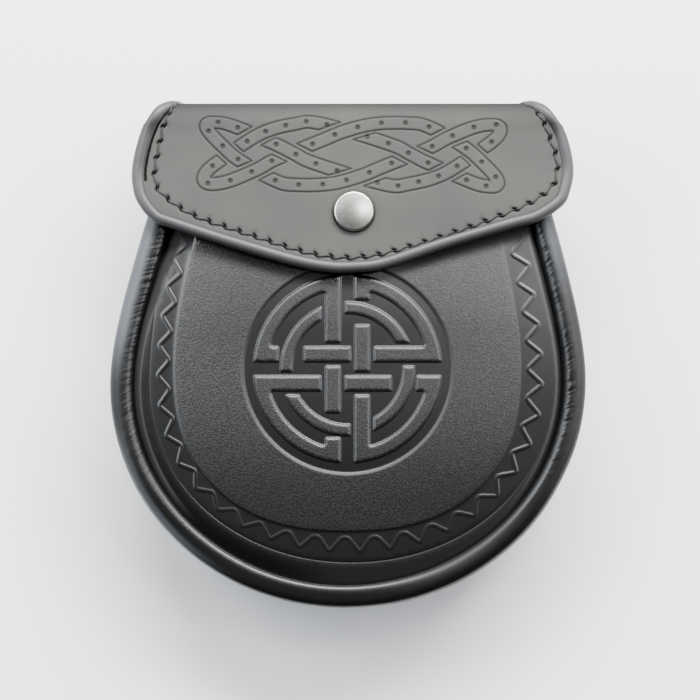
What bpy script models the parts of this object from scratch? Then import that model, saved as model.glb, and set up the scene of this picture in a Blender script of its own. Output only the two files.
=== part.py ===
"""Sporran pouch of thick black leather, lying on its back with the flap snapped shut.

Metres in the file that comes out, millimetres in the tables here. +X is to the right as the front is
seen, +Y runs up the pouch towards the fold, +Z comes out of the front. The origin is on the surface
that the pouch lies on, under the middle of its outline.
"""

from math import asin, cos, hypot, pi, radians, sin, sqrt

import bmesh
import bpy
from mathutils import Matrix, Vector

MM = 0.001
GAP = 0.3                      # clearance between pieces that touch
CURVE_GAP = 0.15               # more of it where curved edges are made of short flats

# --- Body outline, seen from the front: a half ellipse below, tapering sides above ---------------
BODY_HALF_WIDTH = 95.2
BODY_DROP = 89.6               # from the widest level down to the bottom
WIDEST_Y = -12.2
SIDE_TAPER = 0.31              # how fast the straight part of each side closes in
SIDE_EASE = 28.0               # length over which the side turns from the ellipse to the taper
BODY_LEAN = 0.0141             # the body leans a little to the right of the flap
MOUTH_Y = 84.0                 # top of the front panel, gusset and rim
FOLD_Y = 100.2                 # the fold, the highest part of the outline

# --- Depth levels above the surface that the pouch lies on ---------------------------------------
RIM_Z = 39.0                   # middle of the front rim round the bottom
RIM_Z_LOSS = 4.5               # the pouch is this much thinner at the mouth
PANEL_CREST_Z = 45.5           # top of the domed front panel
PANEL_CREST_LOSS = 5.0         # how much lower the dome is at the mouth
PANEL_EDGE_RISE = 1.0          # panel edge above the middle of the rim
LOOP_ROOM = 6.6                # the back stands this high over its belt loops
BACK_EDGE_ROLL = 5.0           # the back's edges turn up off the surface

# --- Leather and rolled edges --------------------------------------------------------------------
BACK_LEATHER = 2.6
PANEL_LEATHER = 3.0
GUSSET_LEATHER = 2.0
GUSSET_BULGE = 1.6
LOOP_LEATHER = 2.0
RIM_RADIUS = 4.8
PIPING_RADIUS = 2.5
PIPED_INSET = 2 * PIPING_RADIUS + GAP + CURVE_GAP      # from the outline in to the piped sheet's edge
PANEL_INSET = 2 * RIM_RADIUS + GAP + CURVE_GAP

# --- Fold: two rounded corners with a straight wall between them ---------------------------------
BACK_BEND = 12.0
FRONT_BEND = 9.0
FLAP_TOP_Z = 46.2              # outer face of the flap where it leaves the fold
FLAP_SLOPE = radians(2.3)      # the flap climbs towards its tip, over the domed panel
BELLY_TOP_Y = 5.0              # the back lies flat below this level
RAISED_Y = 36.0                # and is at its full height over the loops from here up

# --- Flap outline, piping included: distance down from the fold's front edge, left and right x ----
FLAP_SIDES = (
    # down,  left, right
    (-22.0, -70.2, 73.0),
    (-6.0, -70.6, 73.3),
    (0.0, -73.0, 75.8),
    (4.5, -77.0, 80.2),
    (11.0, -80.6, 84.2),
    (19.0, -83.8, 88.0),
    (31.0, -86.4, 90.3),
    (40.0, -85.8, 88.8),
    (46.0, -83.4, 85.8),
)
FLAP_LOWER_EDGE = (
    # x, down
    (-78.0, 52.4), (-71.2, 55.2), (-48.0, 62.8), (-22.8, 70.2), (-8.0, 73.0), (2.0, 73.2),
    (15.0, 71.6), (39.2, 63.6), (64.4, 56.0), (76.5, 52.4),
)

# --- Medallion: a four-fold knot of flat bands raised from a sunk disc ---------------------------
MEDALLION = (-0.2, -6.1)
SUNK_RADIUS = 41.4
SUNK_DEPTH = 1.0
BAND_PROUD = 0.2               # the bands stand this far over the leather round the disc
OUTER_ARC = (31.8, 37.8)
INNER_ARC = (21.8, 27.0)
BAR_OFFSET = 5.8               # each bar's middle line from the middle of the knot
BAR_WIDTH = 6.6
CROSS_GAP = 1.1                # between a band and the one that it passes under
STUB_TOP = OUTER_ARC[0] - 4.6  # short bar's inner end from the middle of the knot
BAR_LOW = 4.0                  # middle bar's end inside the inner arc

# --- Interlaced band on the flap: one strand, and the same turned half round ----------------------
BAND_MIDDLE = (1.6, 26.0)      # x, distance down the flap
BAND_WIDTH = 5.2
BAND_RELIEF = 0.5
BAND_CLEAR = 1.5               # a strand that goes under stops this far from the one above
STRAND = (
    (-54.8, -4.6), (-37.3, 7.6), (-22.8, 12.0), (-12.8, 12.2), (14.8, 3.9), (23.1, -0.1), (30.0, -3.6),
    (48.1, -11.5), (57.6, -11.6), (51.4, -3.0), (44.8, 2.6), (30.4, 10.8), (22.4, 12.4), (8.8, 12.0),
    (-3.0, 9.0), (-12.1, 5.3), (-30.0, -2.0), (-38.0, -6.3), (-49.3, -10.9), (-58.6, -10.5),
)

# --- Snap fastener and belt loops ----------------------------------------------------------------
SNAP_X, SNAP_Y = 2.3, 56.6
SNAP_HOLE_RADIUS = 2.6
STUD_HOLE_RADIUS = 2.0
LOOP_X = (-42.0, 42.0)
LOOP_WIDTH = 20.0
LOOP_FOOT, LOOP_RAMP, LOOP_SPAN = 11.0, 6.0, 20.0      # sewn end, ramp and free middle, along Y


# --- Curves in the plane -------------------------------------------------------------------------
def smooth_step(value):
    value = min(max(value, 0.0), 1.0)
    return value * value * (3 - 2 * value)


def resample(points, count):
    """The same line as count points at even distances along it."""
    lengths = [0.0]
    for (x0, y0), (x1, y1) in zip(points, points[1:]):
        lengths.append(lengths[-1] + hypot(x1 - x0, y1 - y0))
    result = []
    segment = 0
    for index in range(count):
        target = lengths[-1] * index / (count - 1)
        while segment < len(points) - 2 and lengths[segment + 1] < target:
            segment += 1
        share = (target - lengths[segment]) / (lengths[segment + 1] - lengths[segment])
        (x0, y0), (x1, y1) = points[segment], points[segment + 1]
        result.append((x0 + (x1 - x0) * share, y0 + (y1 - y0) * share))
    return result


def smooth_line(points, steps):
    """A Catmull-Rom curve through the points, with steps points for each stretch."""
    last = len(points) - 1
    result = []
    for i in range(last):
        a, b, c, d = (points[min(max(k, 0), last)] for k in range(i - 1, i + 3))
        for step in range(steps):
            t = step / steps
            result.append(tuple(
                0.5 * (2 * q + (r - p) * t + (2 * p - 5 * q + 4 * r - s) * t * t
                       + (3 * q - p - 3 * r + s) * t ** 3)
                for p, q, r, s in zip(a, b, c, d)))
    result.append(tuple(points[-1]))
    return result


def offset_left(points, distance):
    """An open line moved sideways, to the left of its direction of travel."""
    result = []
    last = len(points) - 1
    for i, (x, y) in enumerate(points):
        (x0, y0), (x1, y1) = points[max(i - 1, 0)], points[min(i + 1, last)]
        length = hypot(x1 - x0, y1 - y0)
        result.append((x - (y1 - y0) / length * distance, y + (x1 - x0) / length * distance))
    return result


def body_half_width(y):
    if y <= WIDEST_Y:
        return BODY_HALF_WIDTH * sqrt(max(0.0, 1 - ((WIDEST_Y - y) / BODY_DROP) ** 2))
    return BODY_HALF_WIDTH - SIDE_TAPER * (hypot(y - WIDEST_Y, SIDE_EASE) - SIDE_EASE)


def body_edge(inset, top=FOLD_Y, count=121):
    """The body's outline moved in by inset: top left, down round the bottom, up to top right."""
    levels = [top + 2 - (top + 2 - WIDEST_Y) * i / 80 for i in range(80)]
    left = [(-body_half_width(y), y) for y in levels]
    bottom = []
    for i in range(161):
        angle = pi + pi * i / 160
        bottom.append((BODY_HALF_WIDTH * cos(angle), WIDEST_Y + BODY_DROP * sin(angle)))
    right = [(-x, y) for x, y in reversed(left)]
    moved = offset_left(left + bottom + right, inset)
    leaning = [(x + BODY_LEAN * (y - WIDEST_Y), y) for x, y in moved]
    return resample([p for p in leaning if p[1] <= top], count)


def spans(left, right, levels):
    """(level, left x, right x) of a shape at each level, from its two sides, each listed upwards."""
    def reach(side, level):
        for (x0, y0), (x1, y1) in zip(side, side[1:]):
            if y0 <= level <= y1 and y1 > y0:
                return x0 + (x1 - x0) * (level - y0) / (y1 - y0)
        return side[0][0] if level <= side[0][1] else side[-1][0]

    return [(level, reach(left, level), reach(right, level)) for level in levels]


def edge_share(x, y):
    """0 in the middle of the body and 1 at its outline."""
    x -= BODY_LEAN * (y - WIDEST_Y)
    if y > WIDEST_Y:
        return min(1.0, abs(x) / body_half_width(y))
    return min(1.0, hypot(x / BODY_HALF_WIDTH, (WIDEST_Y - y) / BODY_DROP))


# --- Shape of the three walls in depth -----------------------------------------------------------
BACK_BOTTOM_Y = WIDEST_Y - BODY_DROP
BACK_BEND_START = FOLD_Y - BACK_BEND - BACK_BOTTOM_Y     # along the sheet from the bottom of the back
WALL_START = BACK_BEND_START + BACK_BEND * pi / 2
FRONT_BEND_Z = FLAP_TOP_Z - FRONT_BEND * cos(FLAP_SLOPE)
FLAP_START = WALL_START + FRONT_BEND_Z - (LOOP_ROOM + BACK_BEND)     # the fold's front edge
FLAT_FLAP_START = FLAP_START + FRONT_BEND * (pi / 2 - FLAP_SLOPE)


def rim_z(y):
    return RIM_Z - RIM_Z_LOSS * smooth_step((y + 10) / (MOUTH_Y + 11))


def panel_z(x, y):
    """Outer face of the domed front panel."""
    edge = rim_z(y) + PANEL_EDGE_RISE
    crest = PANEL_CREST_Z - PANEL_CREST_LOSS * smooth_step((y - 10) / (MOUTH_Y - 10))
    return edge + (crest - edge) * (1 - edge_share(x, y) ** 3)


def back_z(y):
    """Outer face of the back, without its rolled edges."""
    return LOOP_ROOM * smooth_step((y - BELLY_TOP_Y) / (RAISED_Y - BELLY_TOP_Y))


def fold_profile(along):
    """Place and outward direction (y, z, ny, nz) of the piped sheet's outer face on its middle line."""
    if along <= BACK_BEND_START:
        y = BACK_BOTTOM_Y + along
        slope = (back_z(y + 0.5) - back_z(y - 0.5)) if along < BACK_BEND_START - 1 else 0.0
        length = hypot(slope, 1)
        return y, back_z(y), slope / length, -1 / length
    if along <= WALL_START:
        angle = (along - BACK_BEND_START) / BACK_BEND - pi / 2
        y, z, radius = FOLD_Y - BACK_BEND, LOOP_ROOM + BACK_BEND, BACK_BEND
    elif along <= FLAP_START:
        return FOLD_Y, LOOP_ROOM + BACK_BEND + along - WALL_START, 1.0, 0.0
    else:
        angle = min((along - FLAP_START) / FRONT_BEND, pi / 2 - FLAP_SLOPE)
        y, z, radius = FOLD_Y - FRONT_BEND, FRONT_BEND_Z, FRONT_BEND
    y += radius * cos(angle)
    z += radius * sin(angle)
    past = max(0.0, along - FLAT_FLAP_START)
    return y - past * cos(FLAP_SLOPE), z + past * sin(FLAP_SLOPE), cos(angle), sin(angle)


def fold_droop(x, along):
    """How far the sheet turns in from its middle line's profile towards its sides."""
    if along < WALL_START:
        y = BACK_BOTTOM_Y + min(along, BACK_BEND_START)
        roll = max(0.0, (edge_share(x, y) - 0.8) / 0.2)
        return BACK_EDGE_ROLL * roll ** 2 * (1 - smooth_step((along - BACK_BEND_START) / 16))
    down = along - FLAP_START
    side = abs(x) / 88
    shoulder = 1 - 0.8 * smooth_step((down - 28) / 22)
    return (2.6 * side ** 2 + 3.0 * side ** 6 * shoulder) * smooth_step(down / 18)


def on_fold(x, along, out):
    """A point of the flat piped sheet, folded: out is its height over the sheet's outer face."""
    y, z, normal_y, normal_z = fold_profile(along)
    out -= fold_droop(x, along)
    return x, y + normal_y * out, z + normal_z * out


def flap_edge(inset, count=121):
    """The flap's outline moved in, on the flat sheet: left of the fold, round the tip, right of it."""
    left = [(x, FLAP_START + down) for down, x, _ in FLAP_SIDES]
    right = [(x, FLAP_START + down) for down, _, x in reversed(FLAP_SIDES)]
    lower = [(x, FLAP_START + down) for x, down in FLAP_LOWER_EDGE]
    return offset_left(resample(smooth_line(left + lower + right, 8), count), -inset)


# --- Meshes ----------------------------------------------------------------------------------------
def material(name, color, roughness, metallic=0.0):
    new = bpy.data.materials.new(name)
    new.use_nodes = True
    shader = new.node_tree.nodes["Principled BSDF"]
    shader.inputs["Base Color"].default_value = (*color, 1.0)
    shader.inputs["Roughness"].default_value = roughness
    shader.inputs["Metallic"].default_value = metallic
    return new


def add_object(name, data, finish=None):
    new = bpy.data.objects.new(name, data)
    bpy.context.scene.collection.objects.link(new)
    if finish is not None:
        data.materials.append(finish)
    return new


def finish_mesh(name, bm):
    """A mesh in metres from a bmesh in millimetres."""
    bmesh.ops.recalc_face_normals(bm, faces=bm.faces)
    if bm.calc_volume(signed=True) < 0:
        bmesh.ops.reverse_faces(bm, faces=bm.faces)
    bmesh.ops.scale(bm, vec=(MM, MM, MM), verts=bm.verts)
    mesh = bpy.data.meshes.new(name)
    bm.to_mesh(mesh)
    bm.free()
    return mesh


def skin(bm, rows, closed_rows=False):
    """Faces between neighbouring rows of vertices; a row may be one vertex repeated."""
    for low, high in zip(rows, rows[1:]):
        last = len(low) if closed_rows else len(low) - 1
        for i in range(last):
            j = (i + 1) % len(low)
            corners = list(dict.fromkeys((low[i], low[j], high[j], high[i])))
            if len(corners) > 2:
                bm.faces.new(corners)


def flat_sheet(rows, columns, thickness):
    """A flat sheet from rows of (y, left, right), with its outer face at z = 0."""
    bm = bmesh.new()
    layers = []
    for z in (0.0, -thickness):
        layer = []
        for y, left, right in rows:
            if right - left < 0.5:
                layer.append([bm.verts.new(((left + right) / 2, y, z))] * (columns + 1))
            else:
                step = (right - left) / columns
                layer.append([bm.verts.new((left + step * i, y, z)) for i in range(columns + 1)])
        skin(bm, layer)
        layers.append(layer)
    outer, inner = layers
    for side in (0, -1):
        skin(bm, [[row[side] for row in outer], [row[side] for row in inner]])
    for end in (0, -1):
        if outer[end][0] is not outer[end][-1]:
            skin(bm, [outer[end], inner[end]])
    return bm


def prism(bm, outline, low, high):
    """An upright solid on a flat outline."""
    base = [bm.verts.new((x, y, low)) for x, y in outline]
    lid = [bm.verts.new((x, y, high)) for x, y in outline]
    bm.faces.new(base)
    bm.faces.new(lid)
    skin(bm, [base, lid], closed_rows=True)


def combine(target, tool_bm, operation):
    """Cut or join the prisms in tool_bm with the target, for good."""
    tool = add_object("tool", finish_mesh("tool", tool_bm))
    modifier = target.modifiers.new(operation.title(), "BOOLEAN")
    modifier.operation = operation
    modifier.solver = "EXACT"
    modifier.object = tool
    graph = bpy.context.evaluated_depsgraph_get()
    result = bpy.data.meshes.new_from_object(target.evaluated_get(graph))
    target.modifiers.clear()
    target.data = result
    bpy.data.objects.remove(tool)


def bend(target, place):
    """Triangulate a flat piece and put each of its vertices where place says."""
    bm = bmesh.new()
    bm.from_mesh(target.data)
    bmesh.ops.remove_doubles(bm, verts=bm.verts, dist=0.01 * MM)
    bmesh.ops.triangulate(bm, faces=bm.faces)
    for vertex in bm.verts:
        x, y, z = vertex.co / MM
        vertex.co = Vector(place(x, y, z)) * MM
    if bm.calc_volume(signed=True) < 0:
        bmesh.ops.reverse_faces(bm, faces=bm.faces)
    bm.to_mesh(target.data)
    bm.free()


def rolled_edge(name, path, radius, sides_step, finish):
    """A round leather roll along a path of 3-D points."""
    curve = bpy.data.curves.new(name, "CURVE")
    curve.dimensions = "3D"
    curve.bevel_depth = radius * MM
    curve.bevel_resolution = sides_step
    curve.use_fill_caps = True
    spline = curve.splines.new("POLY")
    spline.points.add(len(path) - 1)
    for point, place in zip(spline.points, path):
        point.co = (*(value * MM for value in place), 1.0)
    return add_object(name, curve, finish)


def turned(name, profile, sides, finish):
    """A solid of revolution about Z from (radius, z) pairs that start and end on the axis."""
    bm = bmesh.new()
    rings = []
    for radius, z in profile:
        if radius == 0:
            rings.append([bm.verts.new((0, 0, z))] * sides)
        else:
            turns = [2 * pi * i / sides for i in range(sides)]
            rings.append([bm.verts.new((radius * cos(a), radius * sin(a), z)) for a in turns])
    skin(bm, rings, closed_rows=True)
    mesh = finish_mesh(name, bm)
    mesh.shade_smooth()
    mesh.set_sharp_from_angle(angle=radians(40))
    return add_object(name, mesh, finish)


def face_up(piece, place, normal):
    """Stand a turned piece at a point of a wall, along the wall's outward direction."""
    piece.location = Vector(place) * MM
    piece.rotation_euler = Vector(normal).to_track_quat("Z", "Y").to_euler()


# --- Back, fold and flap in one sheet --------------------------------------------------------------
def strand_crossings(first, second, same):
    """Where two closed lines cross: (index on each, sine and cosine of the turn between them)."""
    found = []
    count = len(first)
    for i in range(count):
        ax, ay = first[i]
        bx, by = first[(i + 1) % count]
        for j in range(i + 2 if same else 0, count):
            if same and (j + 1) % count == i:
                continue
            cx, cy = second[j]
            dx, dy = second[(j + 1) % count]
            ux, uy, vx, vy = bx - ax, by - ay, dx - cx, dy - cy
            cross = ux * vy - uy * vx
            if abs(cross) < 1e-9:
                continue
            t = ((cx - ax) * vy - (cy - ay) * vx) / cross
            w = ((cx - ax) * uy - (cy - ay) * ux) / cross
            if 0 <= t < 1 and 0 <= w < 1:
                size = hypot(ux, uy) * hypot(vx, vy)
                found.append((i + t, j + w, cross / size, (ux * vx + uy * vy) / size))
    return found


def beside(line, place, distance):
    """The point beside a closed line at a fractional index, to its left or (below zero) its right."""
    count = len(line)
    (x0, y0), (x1, y1) = line[int(place) % count], line[(int(place) + 1) % count]
    share = place - int(place)
    length = hypot(x1 - x0, y1 - y0)
    return (x0 + (x1 - x0) * share - (y1 - y0) / length * distance,
            y0 + (y1 - y0) * share + (x1 - x0) / length * distance)


def interlace_outlines():
    """Outlines of both strands' visible runs: each ends beside the strand that it dips under."""
    first = resample(smooth_line(STRAND + STRAND[:1], 6), 181)[:-1]
    strands = [first, [(-x, -y) for x, y in first]]
    passes = [[], []]
    for a, b in ((0, 0), (0, 1), (1, 1)):
        for i, j, sine, cosine in strand_crossings(strands[a], strands[b], a == b):
            passes[a].append((i, sine, cosine))
            passes[b].append((j, -sine, cosine))
    spacing = hypot(first[1][0] - first[0][0], first[1][1] - first[0][1])
    half = BAND_WIDTH / 2
    for line, marks in zip(strands, passes):
        marks.sort()
        under = marks[::2]
        for (start, start_sine, start_cosine), (end, end_sine, end_cosine) in zip(under, under[1:] + under[:1]):
            if end <= start:
                end += len(line)
            outline = []
            for side in (1, -1):
                slant = side * half * start_cosine * (1 if start_sine < 0 else -1)
                low = start + (half + BAND_CLEAR - slant) / abs(start_sine) / spacing
                slant = side * half * end_cosine * (1 if end_sine > 0 else -1)
                high = end - (half + BAND_CLEAR - slant) / abs(end_sine) / spacing
                count = max(3, round((high - low) / 2))
                run = [beside(line, low + (high - low) * k / (count - 1), side * half) for k in range(count)]
                middle = [beside(line, start + (end - start) * k / 60, 0) for k in range(61)]
                clear = [p for p in run if min(hypot(p[0] - x, p[1] - y) for x, y in middle) > 0.97 * half]
                outline += clear[::side]
            yield outline


def sheet_rows():
    """Levels of the flat piped sheet with its left and right edge at each."""
    back = [(x, y - BACK_BOTTOM_Y) for x, y in body_edge(PIPED_INSET, FOLD_Y - BACK_BEND, 161)]
    flap = flap_edge(PIPED_INSET, 161)
    outline = flap + back[::-1]
    top = max(range(len(flap)), key=lambda i: flap[i][1])
    bottom = min(range(len(outline)), key=lambda i: outline[i][1])
    right = outline[top:bottom + 1][::-1]
    left = outline[bottom:] + outline[:top + 1]
    low, high = outline[bottom][1], outline[top][1]

    widest = WIDEST_Y - BACK_BOTTOM_Y
    levels = [widest - (widest - low) * cos(radians(a)) for a in (0, 12, 24, 36, 48, 60, 72, 82)]
    levels += [widest + 12 * i for i in range(2)]
    ramp = BELLY_TOP_Y - BACK_BOTTOM_Y
    levels += [ramp + (RAISED_Y - BELLY_TOP_Y) * i / 4 for i in range(5)]
    levels += [ramp + 48, ramp + 66]
    levels += [BACK_BEND_START + (WALL_START - BACK_BEND_START) * i / 4 for i in range(5)]
    levels += [FLAP_START + (FLAT_FLAP_START - FLAP_START) * i / 8 for i in (-2, -1, 0, 1, 2, 3, 4, 6, 8)]
    levels += [FLAT_FLAP_START + 5.5 * i for i in range(1, 6)]
    corner = FLAT_FLAP_START + 32
    levels += [corner + (high - corner) * sin(radians(a)) for a in (0, 8, 16, 24, 32, 42, 54, 68, 90)]
    return spans(left, right, levels)


def make_back_and_flap(finish):
    sheet = add_object("back_and_flap", finish_mesh("back_and_flap",
                                                   flat_sheet(sheet_rows(), 14, BACK_LEATHER)), finish)
    hole = bmesh.new()
    centre = (SNAP_X, FLAT_FLAP_START + (fold_profile(FLAT_FLAP_START)[0] - SNAP_Y) / cos(FLAP_SLOPE))
    prism(hole, circle(centre, SNAP_HOLE_RADIUS, 12), -BACK_LEATHER - 1, 1.0)
    combine(sheet, hole, "DIFFERENCE")
    middle_x, down = BAND_MIDDLE
    bands = bmesh.new()
    for outline in interlace_outlines():
        prism(bands, [(middle_x + x, FLAP_START + down - y) for x, y in outline], -1.1, BAND_RELIEF)
    combine(sheet, bands, "UNION")
    bend(sheet, on_fold)
    return centre


# --- Front panel with the medallion ----------------------------------------------------------------
def circle(centre, radius, sides):
    turns = [2 * pi * i / sides for i in range(sides)]
    return [(centre[0] + radius * cos(a), centre[1] + radius * sin(a)) for a in turns]


def arc(radius, start, end):
    """Points on a circle about the knot's middle, from one angle to another, in radians."""
    count = max(2, round(abs(end - start) / radians(8)) + 1)
    angles = [start + (end - start) * i / (count - 1) for i in range(count)]
    return [(radius * cos(a), radius * sin(a)) for a in angles]


def knot_outlines():
    """The knot's lower left quarter: hooked outer band, inner arc and middle bar, turned four times."""
    near = BAR_OFFSET - BAR_WIDTH / 2
    far = BAR_OFFSET + BAR_WIDTH / 2
    low, high = OUTER_ARC
    bar_end = far + CROSS_GAP
    hook = [(-bar_end, -near), (-bar_end, -far)]
    hook += arc(low, pi + asin(far / low), 1.5 * pi - asin(far / low))
    hook += [(-far, -STUB_TOP), (-near, -STUB_TOP)]
    hook += arc(high, 1.5 * pi - asin(near / high), pi + asin(near / high))

    inner, outer = INNER_ARC
    start = far + CROSS_GAP
    end = near - CROSS_GAP
    inner_arc = arc(inner, pi + asin(start / inner), 1.5 * pi + asin(end / inner))
    inner_arc += arc(outer, 1.5 * pi + asin(end / outer), pi + asin(start / outer))

    bar_low, bar_high = BAR_LOW - inner, near - CROSS_GAP
    bar = [(-far, bar_low), (-near, bar_low), (-near, bar_high), (-far, bar_high)]
    for quarter in range(4):
        turn = Matrix.Rotation(quarter * pi / 2, 2)
        for outline in (hook, inner_arc, bar):
            yield [tuple(turn @ Vector(point)) for point in outline]


def panel_rows():
    edge = body_edge(PANEL_INSET, MOUTH_Y, 161)
    bottom = min(range(len(edge)), key=lambda i: edge[i][1])
    left, right = edge[:bottom + 1][::-1], edge[bottom:]
    low = edge[bottom][1]
    levels = [WIDEST_Y - (WIDEST_Y - low) * cos(radians(a)) for a in range(0, 90, 9)]
    levels += [WIDEST_Y + (MOUTH_Y - WIDEST_Y) * i / 8 for i in range(9)]
    return spans(left, right, levels)


def make_front_panel(finish):
    panel = add_object("front_panel", finish_mesh("front_panel",
                                                 flat_sheet(panel_rows(), 14, PANEL_LEATHER)), finish)
    disc = bmesh.new()
    prism(disc, circle(MEDALLION, SUNK_RADIUS, 48), -SUNK_DEPTH, 1.0)
    combine(panel, disc, "DIFFERENCE")
    knot = bmesh.new()
    for outline in knot_outlines():
        placed = [(MEDALLION[0] + x, MEDALLION[1] + y) for x, y in outline]
        prism(knot, placed, -SUNK_DEPTH - 0.7, BAND_PROUD)
    combine(panel, knot, "UNION")
    hole = bmesh.new()
    prism(hole, circle((SNAP_X, SNAP_Y), STUD_HOLE_RADIUS, 12), -PANEL_LEATHER - 1, 1.0)
    combine(panel, hole, "DIFFERENCE")
    bend(panel, lambda x, y, z: (x, y, panel_z(x, y) + z))


# --- Side wall, rolled edges, snap and loops --------------------------------------------------------
def make_gusset(finish):
    """A strip bent into a U between the back seam and the rim, bulging a little outwards."""
    middle = body_edge(RIM_RADIUS, MOUTH_Y, 57)
    levels = (0.0, 0.25, 0.5, 0.75, 1.0)
    section = [(level, 0.5) for level in levels] + [(level, -0.5) for level in reversed(levels)]
    moved = {}
    for level, side in section:
        out = side * GUSSET_LEATHER + GUSSET_BULGE * (1 - (2 * level - 1) ** 2)
        moved[(level, side)] = offset_left(middle, -out)
    bm = bmesh.new()
    rings = []
    for i, (_, y) in enumerate(middle):
        low = back_z(y) + BACK_EDGE_ROLL + BACK_LEATHER / 2 + PIPING_RADIUS + GAP
        high = rim_z(y) - RIM_RADIUS - GAP
        ring = []
        for level, side in section:
            x, y_out = moved[(level, side)][i]
            ring.append(bm.verts.new((x, y_out, low + (high - low) * level)))
        rings.append(ring)
    skin(bm, rings, closed_rows=True)
    bm.faces.new(rings[0])
    bm.faces.new(rings[-1])
    mesh = finish_mesh("gusset", bm)
    mesh.shade_smooth()
    mesh.set_sharp_from_angle(angle=radians(40))
    add_object("gusset", mesh, finish)


def make_rolled_edges(finish):
    rim = [(x, y, rim_z(y)) for x, y in body_edge(RIM_RADIUS, MOUTH_Y, 61)]
    rolled_edge("front_rim", rim, RIM_RADIUS, 4, finish)

    top = FOLD_Y - BACK_BEND - 4
    back = body_edge(PIPING_RADIUS, top, 61)
    path = [on_fold(x, y - BACK_BOTTOM_Y, -BACK_LEATHER / 2) for x, y in back]
    rolled_edge("back_piping", path, PIPING_RADIUS, 2, finish)

    over = flap_edge(PIPING_RADIUS, 201)
    start = top + GAP - BACK_BOTTOM_Y
    tail = [(back[0][0], start), (back[0][0], start + 6)]
    end = [(back[-1][0], start + 6), (back[-1][0], start)]
    line = resample(tail + over + end, 86)
    path = [on_fold(x, along, -BACK_LEATHER / 2) for x, along in line]
    rolled_edge("flap_piping", path, PIPING_RADIUS, 2, finish)


def make_snap(finish, hole):
    """Domed cap riveted through the flap, and the stud on the panel that it closes on."""
    dome_radius, dome_height = 7.9, 3.0
    profile = [(0, dome_height + GAP)]
    for angle in (18, 36, 54, 72, 90):
        turn = radians(angle)
        profile.append((dome_radius * sin(turn), GAP + 0.7 + (dome_height - 0.7) * cos(turn)))
    profile += [(dome_radius, GAP), (2.1, GAP), (2.1, -BACK_LEATHER - GAP), (4.4, -BACK_LEATHER - GAP),
                (4.4, -BACK_LEATHER - GAP - 1.0), (0, -BACK_LEATHER - GAP - 1.0)]
    cap = turned("snap_cap", profile, 24, finish)
    _, _, normal_y, normal_z = fold_profile(hole[1])
    face_up(cap, on_fold(hole[0], hole[1], 0), (0, normal_y, normal_z))

    head, post, foot = 2.8, STUD_HOLE_RADIUS - GAP, 4.2
    profile = [(0, GAP + 0.7), (head, GAP + 0.7), (head, GAP), (post, GAP), (post, -PANEL_LEATHER - GAP),
               (foot, -PANEL_LEATHER - GAP), (foot, -PANEL_LEATHER - GAP - 0.9),
               (0, -PANEL_LEATHER - GAP - 0.9)]
    stud = turned("snap_stud", profile, 16, finish)
    step = 1.0
    slope = (panel_z(SNAP_X, SNAP_Y + step) - panel_z(SNAP_X, SNAP_Y - step)) / (2 * step)
    face_up(stud, (SNAP_X, SNAP_Y, panel_z(SNAP_X, SNAP_Y)), (0, -slope, 1))


def make_belt_loops(finish):
    """Strips sewn to the back at both ends, standing off it in the middle for the strap."""
    half = LOOP_SPAN / 2
    rows = []
    for y, share in ((-half - LOOP_RAMP - LOOP_FOOT, 1), (-half - LOOP_RAMP, 1),
                     (-half - LOOP_RAMP * 0.75, 0.85), (-half - LOOP_RAMP * 0.25, 0.15), (-half, 0)):
        rows.append((y, share))
    rows += [(-y, share) for y, share in reversed(rows)]
    middle_y = RAISED_Y + 1 + half + LOOP_RAMP + LOOP_FOOT
    rise = LOOP_ROOM - GAP - LOOP_LEATHER
    for name, x in zip(("belt_loop_left", "belt_loop_right"), LOOP_X):
        bm = bmesh.new()
        rings = []
        for y, share in rows:
            z = rise * share
            ring = [(x + LOOP_WIDTH / 2, z), (x + LOOP_WIDTH / 2, z + LOOP_LEATHER),
                    (x - LOOP_WIDTH / 2, z + LOOP_LEATHER), (x - LOOP_WIDTH / 2, z)]
            rings.append([bm.verts.new((px, middle_y + y, pz)) for px, pz in ring])
        skin(bm, rings, closed_rows=True)
        bm.faces.new(rings[0])
        bm.faces.new(rings[-1])
        add_object(name, finish_mesh(name, bm), finish)


for old in list(bpy.data.objects):
    bpy.data.objects.remove(old)

smooth_leather = material("smooth_black_leather", (0.035, 0.035, 0.038), 0.42)
panel_leather = material("grained_black_leather", (0.022, 0.022, 0.024), 0.5)
rolled_leather = material("rolled_black_leather", (0.015, 0.015, 0.018), 0.3)
nickel = material("nickel", (0.66, 0.66, 0.64), 0.25, metallic=1.0)

snap_hole = make_back_and_flap(smooth_leather)
make_front_panel(panel_leather)
make_gusset(rolled_leather)
make_rolled_edges(rolled_leather)
make_snap(nickel, snap_hole)
make_belt_loops(smooth_leather)
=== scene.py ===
"""Sporran pouch of black leather, lying on its back with the flap snapped shut: its looks.

Millimetres in the tables, metres in the scene. +X is to the right as the front is seen, +Y runs up the
pouch to the fold, +Z comes out of the front.
"""

from math import asin, cos, hypot, pi, radians, sin

import bmesh
import bpy
import numpy as np
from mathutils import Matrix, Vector, geometry, kdtree, noise


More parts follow.
